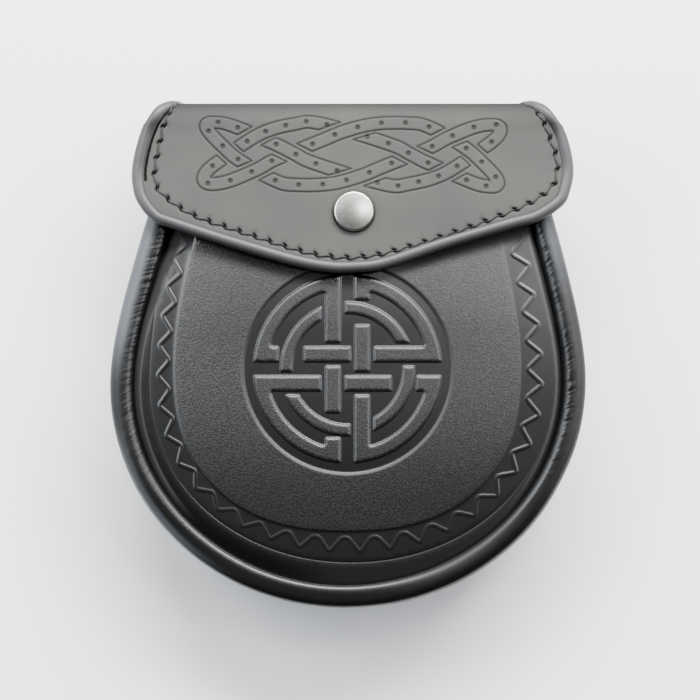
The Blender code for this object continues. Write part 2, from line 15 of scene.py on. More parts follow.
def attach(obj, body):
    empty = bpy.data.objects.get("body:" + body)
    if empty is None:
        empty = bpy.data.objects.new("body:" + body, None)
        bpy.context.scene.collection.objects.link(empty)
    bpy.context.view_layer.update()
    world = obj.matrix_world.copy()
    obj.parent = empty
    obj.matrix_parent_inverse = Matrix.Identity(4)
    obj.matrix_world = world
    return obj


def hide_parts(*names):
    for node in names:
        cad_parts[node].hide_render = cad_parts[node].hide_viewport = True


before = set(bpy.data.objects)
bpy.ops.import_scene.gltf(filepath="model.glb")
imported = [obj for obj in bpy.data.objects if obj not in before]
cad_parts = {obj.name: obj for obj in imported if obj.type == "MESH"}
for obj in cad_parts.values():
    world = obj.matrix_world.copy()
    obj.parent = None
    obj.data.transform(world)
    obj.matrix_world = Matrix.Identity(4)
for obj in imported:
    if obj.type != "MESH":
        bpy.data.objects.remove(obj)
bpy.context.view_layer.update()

# =====================================================================================================
# Back, fold and flap.
# One sheet of thick smooth leather, cut to the outline of the back with the flap on top, tooled while
# damp with an interlaced band, punched with dots, and folded over two rounded corners.
# =====================================================================================================
MM = 0.001

BODY_HALF_WIDTH, BODY_DROP, WIDEST_Y = 95.2, 89.6, -12.2
SIDE_TAPER, SIDE_EASE, BODY_LEAN = 0.31, 28.0, 0.0141
FOLD_Y, BACK_BEND, FRONT_BEND = 100.2, 12.0, 9.0        # where the fold ends, and its two bend radii
BELLY_TOP_Y, RAISED_Y, LOOP_ROOM = 5.0, 36.0, 6.6       # the back rises between these to clear the loops
BACK_LEATHER, BACK_EDGE_ROLL, EDGE_ROLL_START = 2.6, 5.0, 0.8    # the roll starts this share of the way out
FLAP_TOP_Z, FLAP_SLOPE = 46.2, radians(2.3)
FLAP_HALF_WIDTH, FLAP_CROWN, SIDE_DROOP = 88.0, 2.6, 3.0

FLAP_SIDES = (
    # distance down from the fold's front edge, left x, right x
    (-22.0, -70.2, 73.0), (-6.0, -70.6, 73.3), (0.0, -73.0, 75.8), (4.5, -77.0, 80.2), (11.0, -80.6, 84.2),
    (19.0, -83.8, 88.0), (31.0, -86.4, 90.3), (40.0, -85.8, 88.8), (46.0, -83.4, 85.8),
)
FLAP_LOWER_EDGE = (
    # x, distance down
    (-78.0, 52.4), (-71.2, 55.2), (-48.0, 62.8), (-22.8, 70.2), (-8.0, 73.0), (2.0, 73.2), (15.0, 71.6),
    (39.2, 63.6), (64.4, 56.0), (76.5, 52.4),
)


def fade(value, start, end):
    """0 before start, 1 past end and smooth between them; start may be the higher one."""
    share = np.clip((value - start) / (end - start), 0.0, 1.0)
    return share * share * (3 - 2 * share)


def bell(value, middle, reach):
    """1 at the middle, and next to nothing from two reaches away."""
    return np.exp(-((value - middle) / reach) ** 2)


def lengths_along(line):
    """How far along a line each of its points lies."""
    return np.concatenate(([0.0], np.cumsum(np.linalg.norm(np.diff(line, axis=0), axis=1))))


def points_at(line, lengths, places):
    """A line's points, or other values of its points, at some places along it."""
    return np.column_stack([np.interp(places, lengths, column) for column in line.T])


def resample(line, step):
    """The same line as points at even distances, close to step."""
    line = np.asarray(line, float)
    lengths = lengths_along(line)
    return points_at(line, lengths, np.linspace(0, lengths[-1], max(2, round(lengths[-1] / step) + 1)))


def smooth_line(points, steps=10):
    """A Catmull-Rom curve through the points."""
    points = np.asarray(points, float)
    padded = np.vstack([points[:1], points, points[-1:]])
    t = np.linspace(0, 1, steps, endpoint=False)[:, None]
    runs = [
        0.5 * (2 * b + (c - a) * t + (2 * a - 5 * b + 4 * c - d) * t ** 2 + (3 * b - a - 3 * c + d) * t ** 3)
        for a, b, c, d in zip(padded, padded[1:], padded[2:], padded[3:])
    ]
    return np.vstack(runs + [points[-1:]])


def round_points(turn, radius=1.0):
    """Points on a circle round the origin, at the given angles."""
    return radius * np.column_stack([np.cos(turn), np.sin(turn)])


def sideways(line, loop=False):
    """Unit vectors to the left of a line's direction of travel."""
    ahead = np.roll(line, -1, 0) - np.roll(line, 1, 0) if loop else np.gradient(line, axis=0)
    ahead /= np.hypot(*ahead.T)[:, None]
    return np.column_stack([-ahead[:, 1], ahead[:, 0]])


def body_half_width(y):
    """Half an ellipse below the widest level, and sides that draw in towards the mouth above it."""
    below = BODY_HALF_WIDTH * np.sqrt(np.clip(1 - ((WIDEST_Y - y) / BODY_DROP) ** 2, 0, 1))
    above = BODY_HALF_WIDTH - SIDE_TAPER * (np.hypot(y - WIDEST_Y, SIDE_EASE) - SIDE_EASE)
    return np.where(y <= WIDEST_Y, below, above)


def body_edge(inset, top, step=1.0):
    """The body's outline moved in by inset: top left, down round the bottom, up to top right."""
    levels = np.linspace(top + 2, WIDEST_Y, 81)[:-1]
    left = np.column_stack([-body_half_width(levels), levels])
    bottom = round_points(np.linspace(pi, 2 * pi, 161)) * (BODY_HALF_WIDTH, BODY_DROP) + (0, WIDEST_Y)
    outline = np.vstack([left, bottom, left[::-1] * (-1, 1)])
    outline += sideways(outline) * inset
    outline[:, 0] += BODY_LEAN * (outline[:, 1] - WIDEST_Y)
    return resample(outline[outline[:, 1] <= top], step)


def edge_share(x, y):
    """0 in the middle of the body and 1 at its outline."""
    x = x - BODY_LEAN * (y - WIDEST_Y)
    above = np.abs(x) / np.maximum(body_half_width(y), 1)
    below = np.hypot(x / BODY_HALF_WIDTH, (WIDEST_Y - y) / BODY_DROP)
    return np.minimum(1, np.where(y > WIDEST_Y, above, below))


BACK_BOTTOM_Y = WIDEST_Y - BODY_DROP
BACK_BEND_START = FOLD_Y - BACK_BEND - BACK_BOTTOM_Y     # along the sheet from the bottom of the back
WALL_START = BACK_BEND_START + BACK_BEND * pi / 2
FRONT_BEND_Z = FLAP_TOP_Z - FRONT_BEND * cos(FLAP_SLOPE)
FLAP_START = WALL_START + FRONT_BEND_Z - (LOOP_ROOM + BACK_BEND)     # the fold's front edge
FLAT_FLAP_START = FLAP_START + FRONT_BEND * (pi / 2 - FLAP_SLOPE)


def back_z(y):
    """Outer face of the back, without its rolled edges."""
    return LOOP_ROOM * fade(y, BELLY_TOP_Y, RAISED_Y)


def on_fold(x, along, out):
    """Points of the flat sheet, folded: out is the height over the sheet's outer face."""
    back_y = np.minimum(BACK_BOTTOM_Y + along, FOLD_Y - BACK_BEND)
    back_turn = np.clip((along - BACK_BEND_START) / BACK_BEND, 0, pi / 2)
    front_turn = np.clip((along - FLAP_START) / FRONT_BEND, 0, pi / 2 - FLAP_SLOPE)
    climb = np.clip(along - WALL_START, 0, FLAP_START - WALL_START)
    past = np.maximum(along - FLAT_FLAP_START, 0)
    y = back_y + BACK_BEND * np.sin(back_turn) - FRONT_BEND * (1 - np.cos(front_turn))
    y = y - past * cos(FLAP_SLOPE)
    z = back_z(back_y) + BACK_BEND * (1 - np.cos(back_turn)) + climb + FRONT_BEND * np.sin(front_turn)
    z = z + past * sin(FLAP_SLOPE)
    facing = back_turn + front_turn - pi / 2 + np.arctan(back_z(back_y + 0.5) - back_z(back_y - 0.5))

    roll = np.maximum(0, (edge_share(x, back_y) - EDGE_ROLL_START) / (1 - EDGE_ROLL_START))
    back_droop = BACK_EDGE_ROLL * roll ** 2 * fade(along, BACK_BEND_START + 16, BACK_BEND_START)
    down = along - FLAP_START
    side = np.abs(x) / FLAP_HALF_WIDTH
    flap_droop = FLAP_CROWN * side ** 2 + SIDE_DROOP * side ** 6 * (1 - 0.8 * fade(down, 28, 50))
    out = out - np.where(along < WALL_START, back_droop, flap_droop * fade(down, 0, 18))
    return np.column_stack([x, y + np.cos(facing) * out, z + np.sin(facing) * out])


def flap_edge(inset, step=1.0):
    """The flap's outline moved in, on the flat sheet: left of the fold, round the tip, right of it."""
    left = [(x, FLAP_START + down) for down, x, _ in FLAP_SIDES]
    right = [(x, FLAP_START + down) for down, _, x in reversed(FLAP_SIDES)]
    lower = [(x, FLAP_START + down) for x, down in FLAP_LOWER_EDGE]
    line = resample(smooth_line(left + lower + right), step)
    return line - sideways(line) * inset


def softened(loop, rounds):
    """A closed line with its corners eased."""
    for _ in range(rounds):
        loop = (np.roll(loop, 1, 0) + 2 * loop + np.roll(loop, -1, 0)) / 4
    return loop


def even_loop(points, step, rounds=0):
    """A closed line through the points, in even steps close to step, with its corners eased."""
    return softened(resample(np.vstack([points, points[:1]]), step)[:-1], rounds)


def inside(points, loop):
    """Whether each point lies inside a closed line."""
    x, y = points.T
    odd = np.zeros(len(points), bool)
    for (x0, y0), (x1, y1) in zip(loop, np.roll(loop, -1, 0)):
        if y0 != y1:
            odd ^= ((y0 <= y) != (y1 <= y)) & (x < x0 + (x1 - x0) * (y - y0) / (y1 - y0))
    return odd


def distance(points, lines, loop=False):
    """How far each point is from the nearest of several lines."""
    nearest = np.full(len(points), 1e9)
    for line in lines:
        ends = np.roll(line, -1, 0) if loop else line[1:]
        for start, end in zip(line, ends):
            run = end - start
            share = np.clip((points - start) @ run / max(run @ run, 1e-12), 0, 1)
            nearest = np.minimum(nearest, np.linalg.norm(points - start - share[:, None] * run, axis=1))
    return nearest


def depth_inside(points, outlines):
    """How far each point is from the nearest closed line, below zero inside one."""
    apart = distance(points, outlines, loop=True)
    for outline in outlines:
        apart[inside(points, outline)] *= -1
    return apart


def rows_beside(line, offsets, step, loop=False):
    """Points on a line and in rows on both sides of it, its own corners kept, to mesh a tooled edge."""
    ends = np.roll(line, -1, 0) if loop else line[1:]
    rows = []
    for start, end in zip(line, ends):
        run = end - start
        length = hypot(*run)
        if length < 1e-6:
            continue
        count = max(1, round(length / step))
        places = start + run * (np.arange(count) / count)[:, None]
        left = np.array([-run[1], run[0]]) / length
        rows += [places] + [places + left * side * offset for offset in offsets for side in (1, -1)]
    return np.vstack(rows)


def rings_round(centre, radii, sides):
    """Points in rings round a centre, each ring set off by half a step from the one before."""
    rings = [np.asarray([centre])]
    for i, radius in enumerate(radii):
        turn = (np.arange(sides) + 0.5 * (i % 2)) * 2 * pi / sides
        rings.append(centre + round_points(turn, radius))
    return np.vstack(rings)


def staggered(levels, left, right, pitch):
    """Rows of points across a sheet, each row set off by half the pitch."""
    xs = np.arange(left, right, pitch)
    return np.vstack([
        np.column_stack([xs + (i % 2) * pitch / 2, np.full(len(xs), level)])
        for i, level in enumerate(levels)
    ])


def thinned(groups, edge):
    """The points of every (points, spacing) group that lie inside the edge and clear of earlier ones."""
    kept = [tuple(point) for point in edge]
    for points, spacing in groups:
        points = points[inside(points, edge)]
        tree = kdtree.KDTree(len(kept))
        for i, point in enumerate(kept):
            tree.insert((*point, 0), i)
        tree.balance()
        cells = {}
        for point in points:
            if tree.find((*point, 0))[2] < spacing:
                continue
            i, j = int(point[0] // spacing), int(point[1] // spacing)
            near = [p for a in (-1, 0, 1) for b in (-1, 0, 1) for p in cells.get((i + a, j + b), ())]
            if all(hypot(point[0] - x, point[1] - y) >= spacing for x, y in near):
                cells.setdefault((i, j), []).append(tuple(point))
                kept.append(tuple(point))
    return np.array(kept)


def band_faces(low, high, count, loop=True):
    """Four-sided faces between two rows of count points each, given the numbers of their first points."""
    return [(low + i, low + (i + 1) % count, high + (i + 1) % count, high + i)
            for i in range(count if loop else count - 1)]


def leather_mesh(name, points, faces, finish, marks=None):
    """A smooth-shaded object from points in millimetres; marks are values at its points."""
    bm = bmesh.new()
    corners = [bm.verts.new(point) for point in np.asarray(points) * MM]
    for face in faces:
        bm.faces.new([corners[i] for i in face])
    bmesh.ops.recalc_face_normals(bm, faces=bm.faces)
    mesh = bpy.data.meshes.new(name)
    bm.to_mesh(mesh)
    bm.free()
    mesh.shade_smooth()
    mesh.materials.append(finish)
    for label, values in (marks or {}).items():
        mesh.attributes.new(label, "FLOAT", "POINT").data.foreach_set("value", values)
    piece = bpy.data.objects.new(name, mesh)
    bpy.context.scene.collection.objects.link(piece)
    return piece


EDGE_TURNS = np.radians((0, 25, 50, 70, 90))     # the rows that round a cut edge over
SHOULDER_ROWS = (0.4, 0.9, 1.6, 2.5)             # how far in from it the next rows lie
SHOULDER_SPACING = 0.3


def leather_sheet(name, edge, groups, lining, thickness, relief, place, finish, corner):
    """A closed sheet: relief on its outer face, rounded cut edges and a plain inner face.

    edge is the cut outline, groups the (points, spacing) of the outer face, lining those of the inner
    face, corner how much each cut edge is rounded, and place folds (x, y, out) into the pouch. relief
    gives the outer face's height at flat points, and named values to keep there for the finish.
    """
    inward = sideways(edge, loop=True)
    if not inside(edge[:1] + inward[:1] * 0.1, edge)[0]:
        inward = -inward
    count = len(edge)
    steps = [(corner * (1 - sin(a)), -corner * (1 - cos(a))) for a in EDGE_TURNS]
    steps += [(inset, -thickness - out) for inset, out in reversed(steps)]
    walls = np.vstack([
        np.column_stack([edge + inward * inset, np.full(count, out)]) for inset, out in steps
    ])
    faces = []
    for row in range(len(steps) - 1):
        faces += band_faces(row * count, (row + 1) * count, count)

    points = walls
    for first, fill, out in ((0, groups, 0.0), ((len(steps) - 1) * count, lining, -thickness)):
        border = walls[first:first + count, :2]
        shoulder = np.vstack([border + inward * inset for inset in SHOULDER_ROWS])
        flat = thinned([(shoulder, SHOULDER_SPACING), *fill], border)
        _, _, cells, origins, _, _ = geometry.delaunay_2d_cdt(
            [Vector(p) for p in flat], [], [list(range(count))], 1, 1e-7)
        ids = [first + i if i < count else len(points) + i - count for i in range(len(flat))]
        faces += [tuple(ids[origins[i][0]] for i in cell) for cell in cells]
        points = np.vstack([points, np.column_stack([flat[count:], np.full(len(flat) - count, out)])])

    outer = np.flatnonzero(points[:, 2] == 0.0)
    rim = np.arange(len(walls)) % count            # the outer face's border point above each wall point
    fall = np.clip(1 + points[:len(walls), 2] / thickness, 0, 1)
    outer_height, outer_marks = relief(points[outer, :2])
    marks = {}
    for label, values in {"height": outer_height, **outer_marks}.items():
        marks[label] = np.zeros(len(points))
        marks[label][outer] = values
        marks[label][:len(walls)] = marks[label][rim] * fall
    points[:, 2] += marks.pop("height")
    return leather_mesh(name, place(*points.T), faces, finish, marks)


# --- The interlaced band: one closed strand and the same turned half round, passing over and under ----
BAND_MIDDLE = (1.6, 26.0)      # x, distance down the flap
BAND_WIDTH = 5.2
BAND_CLEAR = 1.5               # a strand that goes under stops this far from the one above
BAND_RISE, BAND_SLOPE = 0.16, 0.8                    # its height, and half the width of its sloping edge
GROOVE_DEPTH, GROOVE_REACH, GROOVE_PAINTED_SHADE = 0.40, 0.31, 0.8     # the line round it, and how dark the shade painted into it is
BEAD_HEIGHT, BEAD_PLACE, BEAD_REACH = 0.06, 0.85, 0.35        # the leather pushed up beside the line
# the last is how dark the shade painted into each punched dot is
DOT_PITCH, DOT_RADIUS, DOT_DEPTH, DOT_PAINTED_SHADE = 9.0, 1.0, 0.4, 0.6
DOT_LIP, DOT_LIP_PLACE, DOT_LIP_REACH = 0.05, 0.6, 0.3
STRAND = (
    (-55.4, -4.6), (-37.3, 7.6), (-22.8, 12.0), (-12.8, 12.2), (14.8, 3.9), (23.1, -0.1), (30.0, -3.6),
    (47.6, -11.3), (54.4, -12.9), (57.9, -12.4), (57.4, -9.4), (51.4, -3.0), (44.8, 2.6), (30.4, 10.8),
    (22.4, 12.4), (8.8, 12.0), (-3.0, 9.0), (-12.1, 5.3), (-30.0, -2.0), (-38.0, -6.3), (-49.3, -10.9),
    (-56.6, -11.9), (-59.2, -10.2), (-58.3, -7.4),
)


def strand_crossings(first, second, same):
    """Where two closed lines cross: (index on each, sine and cosine of the turn between them)."""
    found = []
    count = len(first)
    ahead = np.roll(second, -1, 0) - second
    for i in range(count):
        run = first[(i + 1) % count] - first[i]
        cross = run[0] * ahead[:, 1] - run[1] * ahead[:, 0]
        meets = np.abs(cross) > 1e-9
        cross = np.where(meets, cross, 1)
        gap = second - first[i]
        t = (gap[:, 0] * ahead[:, 1] - gap[:, 1] * ahead[:, 0]) / cross
        w = (gap[:, 0] * run[1] - gap[:, 1] * run[0]) / cross
        for j in np.flatnonzero(meets & (t >= 0) & (t < 1) & (w >= 0) & (w < 1)):
            if same and (j < i + 2 or (j + 1) % count == i):
                continue
            size = hypot(*run) * hypot(*ahead[j])
            found.append((i + t[j], j + w[j], cross[j] / size, run @ ahead[j] / size))
    return found


def beside(line, place, offset):
    """The point beside a closed line at a fractional index, to its left or (below zero) its right."""
    start, end = line[int(place) % len(line)], line[(int(place) + 1) % len(line)]
    run = end - start
    return start + run * (place % 1) + np.array([-run[1], run[0]]) / hypot(*run) * offset


def stop_short(side, sine, cosine):
    """How far before a crossing one edge of the strand that goes under stops, along the strand."""
    half = BAND_WIDTH / 2
    slant = side * half * cosine * (-1 if sine > 0 else 1)
    return (half + BAND_CLEAR - slant) / abs(sine)


def interlace():
    """Outline and middle line of each visible run of the strands, round the band's own middle."""
    first = resample(smooth_line(np.vstack([STRAND, STRAND[:1]]), 24), 0.6)[:-1]
    strands, passes = (first, -first), ([], [])
    for a, b in ((0, 0), (0, 1), (1, 1)):
        for i, j, sine, cosine in strand_crossings(strands[a], strands[b], a == b):
            passes[a].append((i, sine, cosine))
            passes[b].append((j, -sine, cosine))
    spacing = hypot(*(first[1] - first[0]))
    half = BAND_WIDTH / 2
    edge = (half + BAND_CLEAR) / spacing
    for line, crossings in zip(strands, passes):
        crossings.sort()
        under = crossings[::2]
        for (start, *start_turn), (end, *end_turn) in zip(under, under[1:] + under[:1]):
            if end <= start:
                end += len(line)
            middle = np.array([beside(line, p, 0) for p in np.linspace(start, end, 120)])
            outline = []
            for side in (1, -1):
                low = start + stop_short(side, *start_turn) / spacing
                high = end - stop_short(-side, *end_turn) / spacing
                count = max(3, round(high - low))
                run = [beside(line, p, side * half) for p in np.linspace(low, high, count)]
                # In a tight bend the inner edge would fold over itself: those points are left out.
                clear = [p for p in run if np.hypot(*(middle - p).T).min() > 0.97 * half]
                outline += clear[::side]
            shown = np.linspace(start + edge, end - edge, 60)
            yield np.array(outline), np.array([beside(line, p, 0) for p in shown])


band_outlines, dots = [], []
for run in interlace():
    outline, middle = [line * (1, -1) + (BAND_MIDDLE[0], FLAP_START + BAND_MIDDLE[1]) for line in run]
    band_outlines.append(outline)
    length = lengths_along(middle)[-1]
    dots += list(resample(middle, length / (2 * max(1, round(length / DOT_PITCH))))[1::2])

# --- The seam: holes pricked through the flap beside its rolled edge ----------------------------------
PIPING_RADIUS = 2.5
SEAM = (
    # x, distance down from the fold's front edge
    (-64.6, -22.0), (-66.0, -6.0), (-70.0, 4.0), (-74.0, 15.9), (-77.2, 31.9), (-76.8, 38.0), (-71.6, 43.9),
    (-60.8, 50.6), (-43.6, 56.6), (-18.2, 64.8), (-4.8, 67.2), (1.6, 67.2), (14.4, 65.6), (40.0, 58.0),
    (65.2, 48.6), (76.0, 43.2), (82.6, 37.0), (83.4, 28.0), (80.4, 18.7), (76.4, 9.0), (70.4, 0.0),
    (68.0, -8.0), (67.6, -22.0),
)
STITCH_PITCH = 6.4
SLIT_HALF, SLIT_WIDTH, SLIT_DEPTH, SLIT_TURN = 1.55, 0.7, 1.3, radians(44)
CHANNEL_DEPTH, CHANNEL_REACH = 0.16, 0.9
OPEN_GROOVE_X, OPEN_GROOVE_END = -60.0, 37.0     # left of this, and above this far down the flap
OPEN_GROOVE_DEPTH, OPEN_GROOVE_REACH = 1.7, 0.5
SNAP_X, SNAP_Y, CAP_RADIUS = 2.3, 56.6, 8.0
PINCH_DEPTH, PINCH_REACH = 0.3, 0.5              # the leather is drawn in round the cap
WAVE_HEIGHT, WAVE_PITCH = 0.25, (34.0, 26.0)

seam = smooth_line([(x, FLAP_START + down) for x, down in SEAM])
open_groove = flap_edge(2 * PIPING_RADIUS + 0.55, 1.5)
open_groove = open_groove[(open_groove[:, 0] < OPEN_GROOVE_X)
                          & (open_groove[:, 1] < FLAP_START + OPEN_GROOVE_END)]
holes = resample(seam, STITCH_PITCH)
slits = sideways(holes) @ np.array([(cos(SLIT_TURN), sin(SLIT_TURN)), (-sin(SLIT_TURN), cos(SLIT_TURN))])
snap_along = FLAT_FLAP_START + (on_fold(0.0, FLAT_FLAP_START, 0.0)[0, 1] - SNAP_Y) / cos(FLAP_SLOPE)


def unevenness(points, pitch, layer):
    """A slow wave over flat points, from -1 to 1; pitch is its size along x and y."""
    return np.array([noise.noise((x / pitch[0], y / pitch[1], layer)) for x, y in points])


def flap_relief(points):
    """Height of the tooling over the sheet's outer face, where shade is painted into it, where the fold is
    painted darker as shade, and where it is dry.
    """
    along = points[:, 1]
    band = depth_inside(points, band_outlines)
    groove = bell(band, 0, GROOVE_REACH)
    height = BAND_RISE * fade(band, BAND_SLOPE, -BAND_SLOPE) - GROOVE_DEPTH * groove
    height += BEAD_HEIGHT * bell(band, BEAD_PLACE, BEAD_REACH)
    # Painted shade: the grooves, punched dots, stitch slits and open groove are darkened as if shade fell in
    # them.
    painted_shade = GROOVE_PAINTED_SHADE * groove
    for dot in dots:
        beyond = np.hypot(*(points - dot).T) - DOT_RADIUS
        pit = fade(beyond, 0.25, -0.3)
        height += DOT_LIP * bell(beyond, DOT_LIP_PLACE, DOT_LIP_REACH) - DOT_DEPTH * pit
        painted_shade = np.maximum(painted_shade, DOT_PAINTED_SHADE * pit)
    open_side = np.exp(-(distance(points, [open_groove]) / OPEN_GROOVE_REACH) ** 4)
    channel = bell(distance(points, [seam]), 0, CHANNEL_REACH)
    height -= CHANNEL_DEPTH * channel + OPEN_GROOVE_DEPTH * open_side
    pinched = bell(np.hypot(*(points - (SNAP_X, snap_along)).T), CAP_RADIUS + 0.1, PINCH_REACH)
    height -= PINCH_DEPTH * pinched
    # A painted shadow: the pinched ring round the cap is darkened only below the cap.
    below_cap = fade(along, snap_along - 6, snap_along + 4)
    painted_shade = np.max([painted_shade, open_side, pinched * below_cap], axis=0)
    for hole, across in zip(holes, slits):
        reach = points - hole
        lengthwise = reach @ (across[1], -across[0])
        slit = np.exp(-((lengthwise / SLIT_HALF) ** 2 + (reach @ across / SLIT_WIDTH) ** 2) ** 1.5)
        height -= SLIT_DEPTH * slit
        painted_shade = np.maximum(painted_shade, slit)
    height += WAVE_HEIGHT * unevenness(points, WAVE_PITCH, 3.1) * fade(along, FLAP_START, FLAP_START + 20)
    upright = (FLAT_FLAP_START - along) / (FLAT_FLAP_START - FLAP_START)      # 1 where the fold stands up
    # "bent" carries a painted shade: the fold and the back get a darker tone than the flap's painted sheen.
    return height, {"painted_shade": painted_shade, "bent": fade(upright, 0, 1), "dry": 0.7 * fade(upright, -0.1, 0.15)}


SHEET_INSET = 2 * PIPING_RADIUS - 0.9      # from the outline in to the cut edge of the sheet

flap_line = flap_edge(SHEET_INSET)
back_line = body_edge(SHEET_INSET, FOLD_Y - BACK_BEND) - (0, BACK_BOTTOM_Y)
sheet_edge = even_loop(np.vstack([flap_line, back_line[::-1]]), 0.9, 3)

tooling = np.vstack([rows_beside(line, (0.3, 0.62, 1.1), 0.6, loop=True) for line in band_outlines])
punching = np.vstack([rings_round(dot, (0.35, 0.7, 0.9, 1.15, 1.5, 2.0), 14) for dot in dots])
pricking = np.vstack([rings_round(hole, (0.25, 0.5, 0.75, 1.0, 1.3, 1.7), 14) for hole in holes])
seam_rows = rows_beside(seam, (0.8, 1.6), 1.2)
groove_rows = np.vstack([rows_beside(open_groove, (0.3, 0.6, 0.95), 0.6),
                         rings_round((SNAP_X, snap_along), CAP_RADIUS + np.arange(-1.2, 1.6, 0.35), 90)])


def sheet_ground(flap_rows, bend_rows, back_rows):
    """Rows over the flap, the bends and the back, each given as (row step, pitch, spacing)."""
    parts = ((FLAT_FLAP_START + 3, 310, 95, flap_rows),
             (BACK_BEND_START - 2, FLAT_FLAP_START + 3, 95, bend_rows),
             (2, BACK_BEND_START - 2, 99, back_rows))
    return [(staggered(np.arange(low, high, step), -half, half, pitch), spacing)
            for low, high, half, (step, pitch, spacing) in parts]


# --- Leather grain, shared by every leather of the pouch ----------------------------------------------
def place_node(tree, kind, output, values=None, **settings):
    """An output of a new shader node, with some of the node's inputs and settings given."""
    node = tree.nodes.new("ShaderNode" + kind)
    for key, value in settings.items():
        setattr(node, key, value)
    for key, value in (values or {}).items():
        if isinstance(value, bpy.types.NodeSocket):
            tree.links.new(value, node.inputs[key])
        else:
            node.inputs[key].default_value = value
    return node.outputs[output]


def times(tree, first, second):
    """The product of two values."""
    return place_node(tree, "Math", "Value", {0: first, 1: second}, operation="MULTIPLY")


def blend(tree, share, first, second):
    """From the first value to the second as share goes from 0 to 1."""
    return place_node(tree, "Mix", "Result", {"Factor": share, "A": first, "B": second})


def blend_tones(tree, share, first, second):
    """The same for two tones, each a socket or its red, green and blue."""
    values = {"Factor": share}
    for key, tone in (("A", first), ("B", second)):
        values[key] = tone if isinstance(tone, bpy.types.NodeSocket) else (*tone, 1)
    return place_node(tree, "Mix", "Result", values, data_type="RGBA")


def marked(tree, label):
    """The values that a mesh keeps at its points under this label."""
    return place_node(tree, "Attribute", "Fac", attribute_name=label)


def new_finish(name):
    """A new material, its node tree and its shader."""
    finish = bpy.data.materials.new(name)
    finish.use_nodes = True
    return finish, finish.node_tree, finish.node_tree.nodes["Principled BSDF"]


def add_bump(tree, shader, height, strength, depth):
    """Makes the surface rise and fall by depth millimetres."""
    bump = place_node(tree, "Bump", "Normal",
                      {"Height": height, "Strength": strength, "Distance": depth * MM})
    tree.links.new(bump, shader.inputs["Normal"])


def make_grain():
    """Leather grain: small pebbles with creases between, finer pores, and a slow mottle of tone."""
    tree = bpy.data.node_groups.new("leather_grain", "ShaderNodeTree")
    for label, value in (("Pebbles per Metre", 900.0), ("Pore Share", 0.4)):
        socket = tree.interface.new_socket(label, in_out="INPUT", socket_type="NodeSocketFloat")
        socket.default_value = value
    given = tree.nodes.new("NodeGroupInput").outputs
    out = tree.nodes.new("NodeGroupOutput")

    where = place_node(tree, "TexCoord", "Object")
    drift = place_node(tree, "TexNoise", "Color", {"Vector": where, "Scale": 260.0, "Detail": 2.0})
    moved = place_node(tree, "VectorMath", "Vector", {0: drift, "Scale": 0.0012}, operation="SCALE")
    bent = place_node(tree, "VectorMath", "Vector", {0: where, 1: moved})
    pebbles = place_node(tree, "TexVoronoi", "Distance",
                         {"Vector": bent, "Scale": given["Pebbles per Metre"]}, feature="SMOOTH_F1")
    domes = place_node(tree, "MapRange", "Result",
                       {"Value": pebbles, "From Min": 0.0, "From Max": 0.6, "To Min": 1.0, "To Max": 0.0})
    pores = place_node(tree, "TexNoise", "Fac",
                       {"Vector": where, "Scale": times(tree, given["Pebbles per Metre"], 1.15),
                        "Detail": 1.0, "Roughness": 0.6})
    mottle = place_node(tree, "TexNoise", "Fac", {"Vector": where, "Scale": 34.0, "Detail": 4.0})
    height = blend(tree, given["Pore Share"], domes, pores)
    for label, source in (("Height", height), ("Mottle", mottle), ("Pores", pores)):
        tree.interface.new_socket(label, in_out="OUTPUT", socket_type="NodeSocketFloat")
        tree.links.new(source, out.inputs[label])
    return tree


leather_grain = make_grain()


def leather(name, dark, light, roughness, polish, pebbles, pore_share, depth, shine=0.5, grained=None,
            marked_gloss=None, marked_tones=None):
    """A leather: its two tones, its roughness between pebbles and on them, and the size of its grain.

    marked_gloss and marked_tones give the roughness and the tone of places that its mesh marks with a
    label. grained is (speck tone, roughness where smooth) for leather that keeps its grain only where
    it is marked "grained".
    """
    finish, tree, shader = new_finish(name)
    grain = place_node(tree, "Group", 0, {"Pebbles per Metre": pebbles, "Pore Share": pore_share},
                       node_tree=leather_grain).node.outputs
    height = grain["Height"]
    gloss = place_node(tree, "MapRange", "Result", {"Value": height, "To Min": roughness, "To Max": polish})
    tone = blend_tones(tree, grain["Mottle"], dark, light)
    if grained:
        speck_tone, smooth_roughness = grained
        shown = marked(tree, "grained")
        height = times(tree, height, shown)
        gloss = blend(tree, shown, smooth_roughness, gloss)
        specks = place_node(tree, "MapRange", "Result",
                            {"Value": grain["Pores"], "From Min": 0.46, "From Max": 0.6})
        tone = blend_tones(tree, times(tree, specks, shown), tone, speck_tone)
    for label, aim in (marked_gloss or {}).items():
        gloss = blend(tree, marked(tree, label), gloss, aim)
    for label, aim in (marked_tones or {}).items():
        tone = blend_tones(tree, marked(tree, label), tone, aim)
    shader.inputs["Specular IOR Level"].default_value = shine
    tree.links.new(tone, shader.inputs["Base Color"])
    tree.links.new(gloss, shader.inputs["Roughness"])
    add_bump(tree, shader, height, 1.0, depth)
    return finish


BLACK, NEAR_BLACK = (0.001, 0.001, 0.001), (0.002, 0.002, 0.002)

# A painted sheen: the flap's tones are greyer than its black leather and its shine is low, so the tone
# stands in for its reflection. The marked tones paint shade on the fold and back and into the tooling.
flap_leather = leather("smooth_black_leather", (0.038, 0.040, 0.039), (0.060, 0.060, 0.054),
                       roughness=0.74, polish=0.60, pebbles=1100, pore_share=0.7, depth=0.05, shine=0.06,
                       marked_gloss={"dry": 1.0},
                       marked_tones={"bent": (0.012, 0.012, 0.0122), "painted_shade": BLACK})

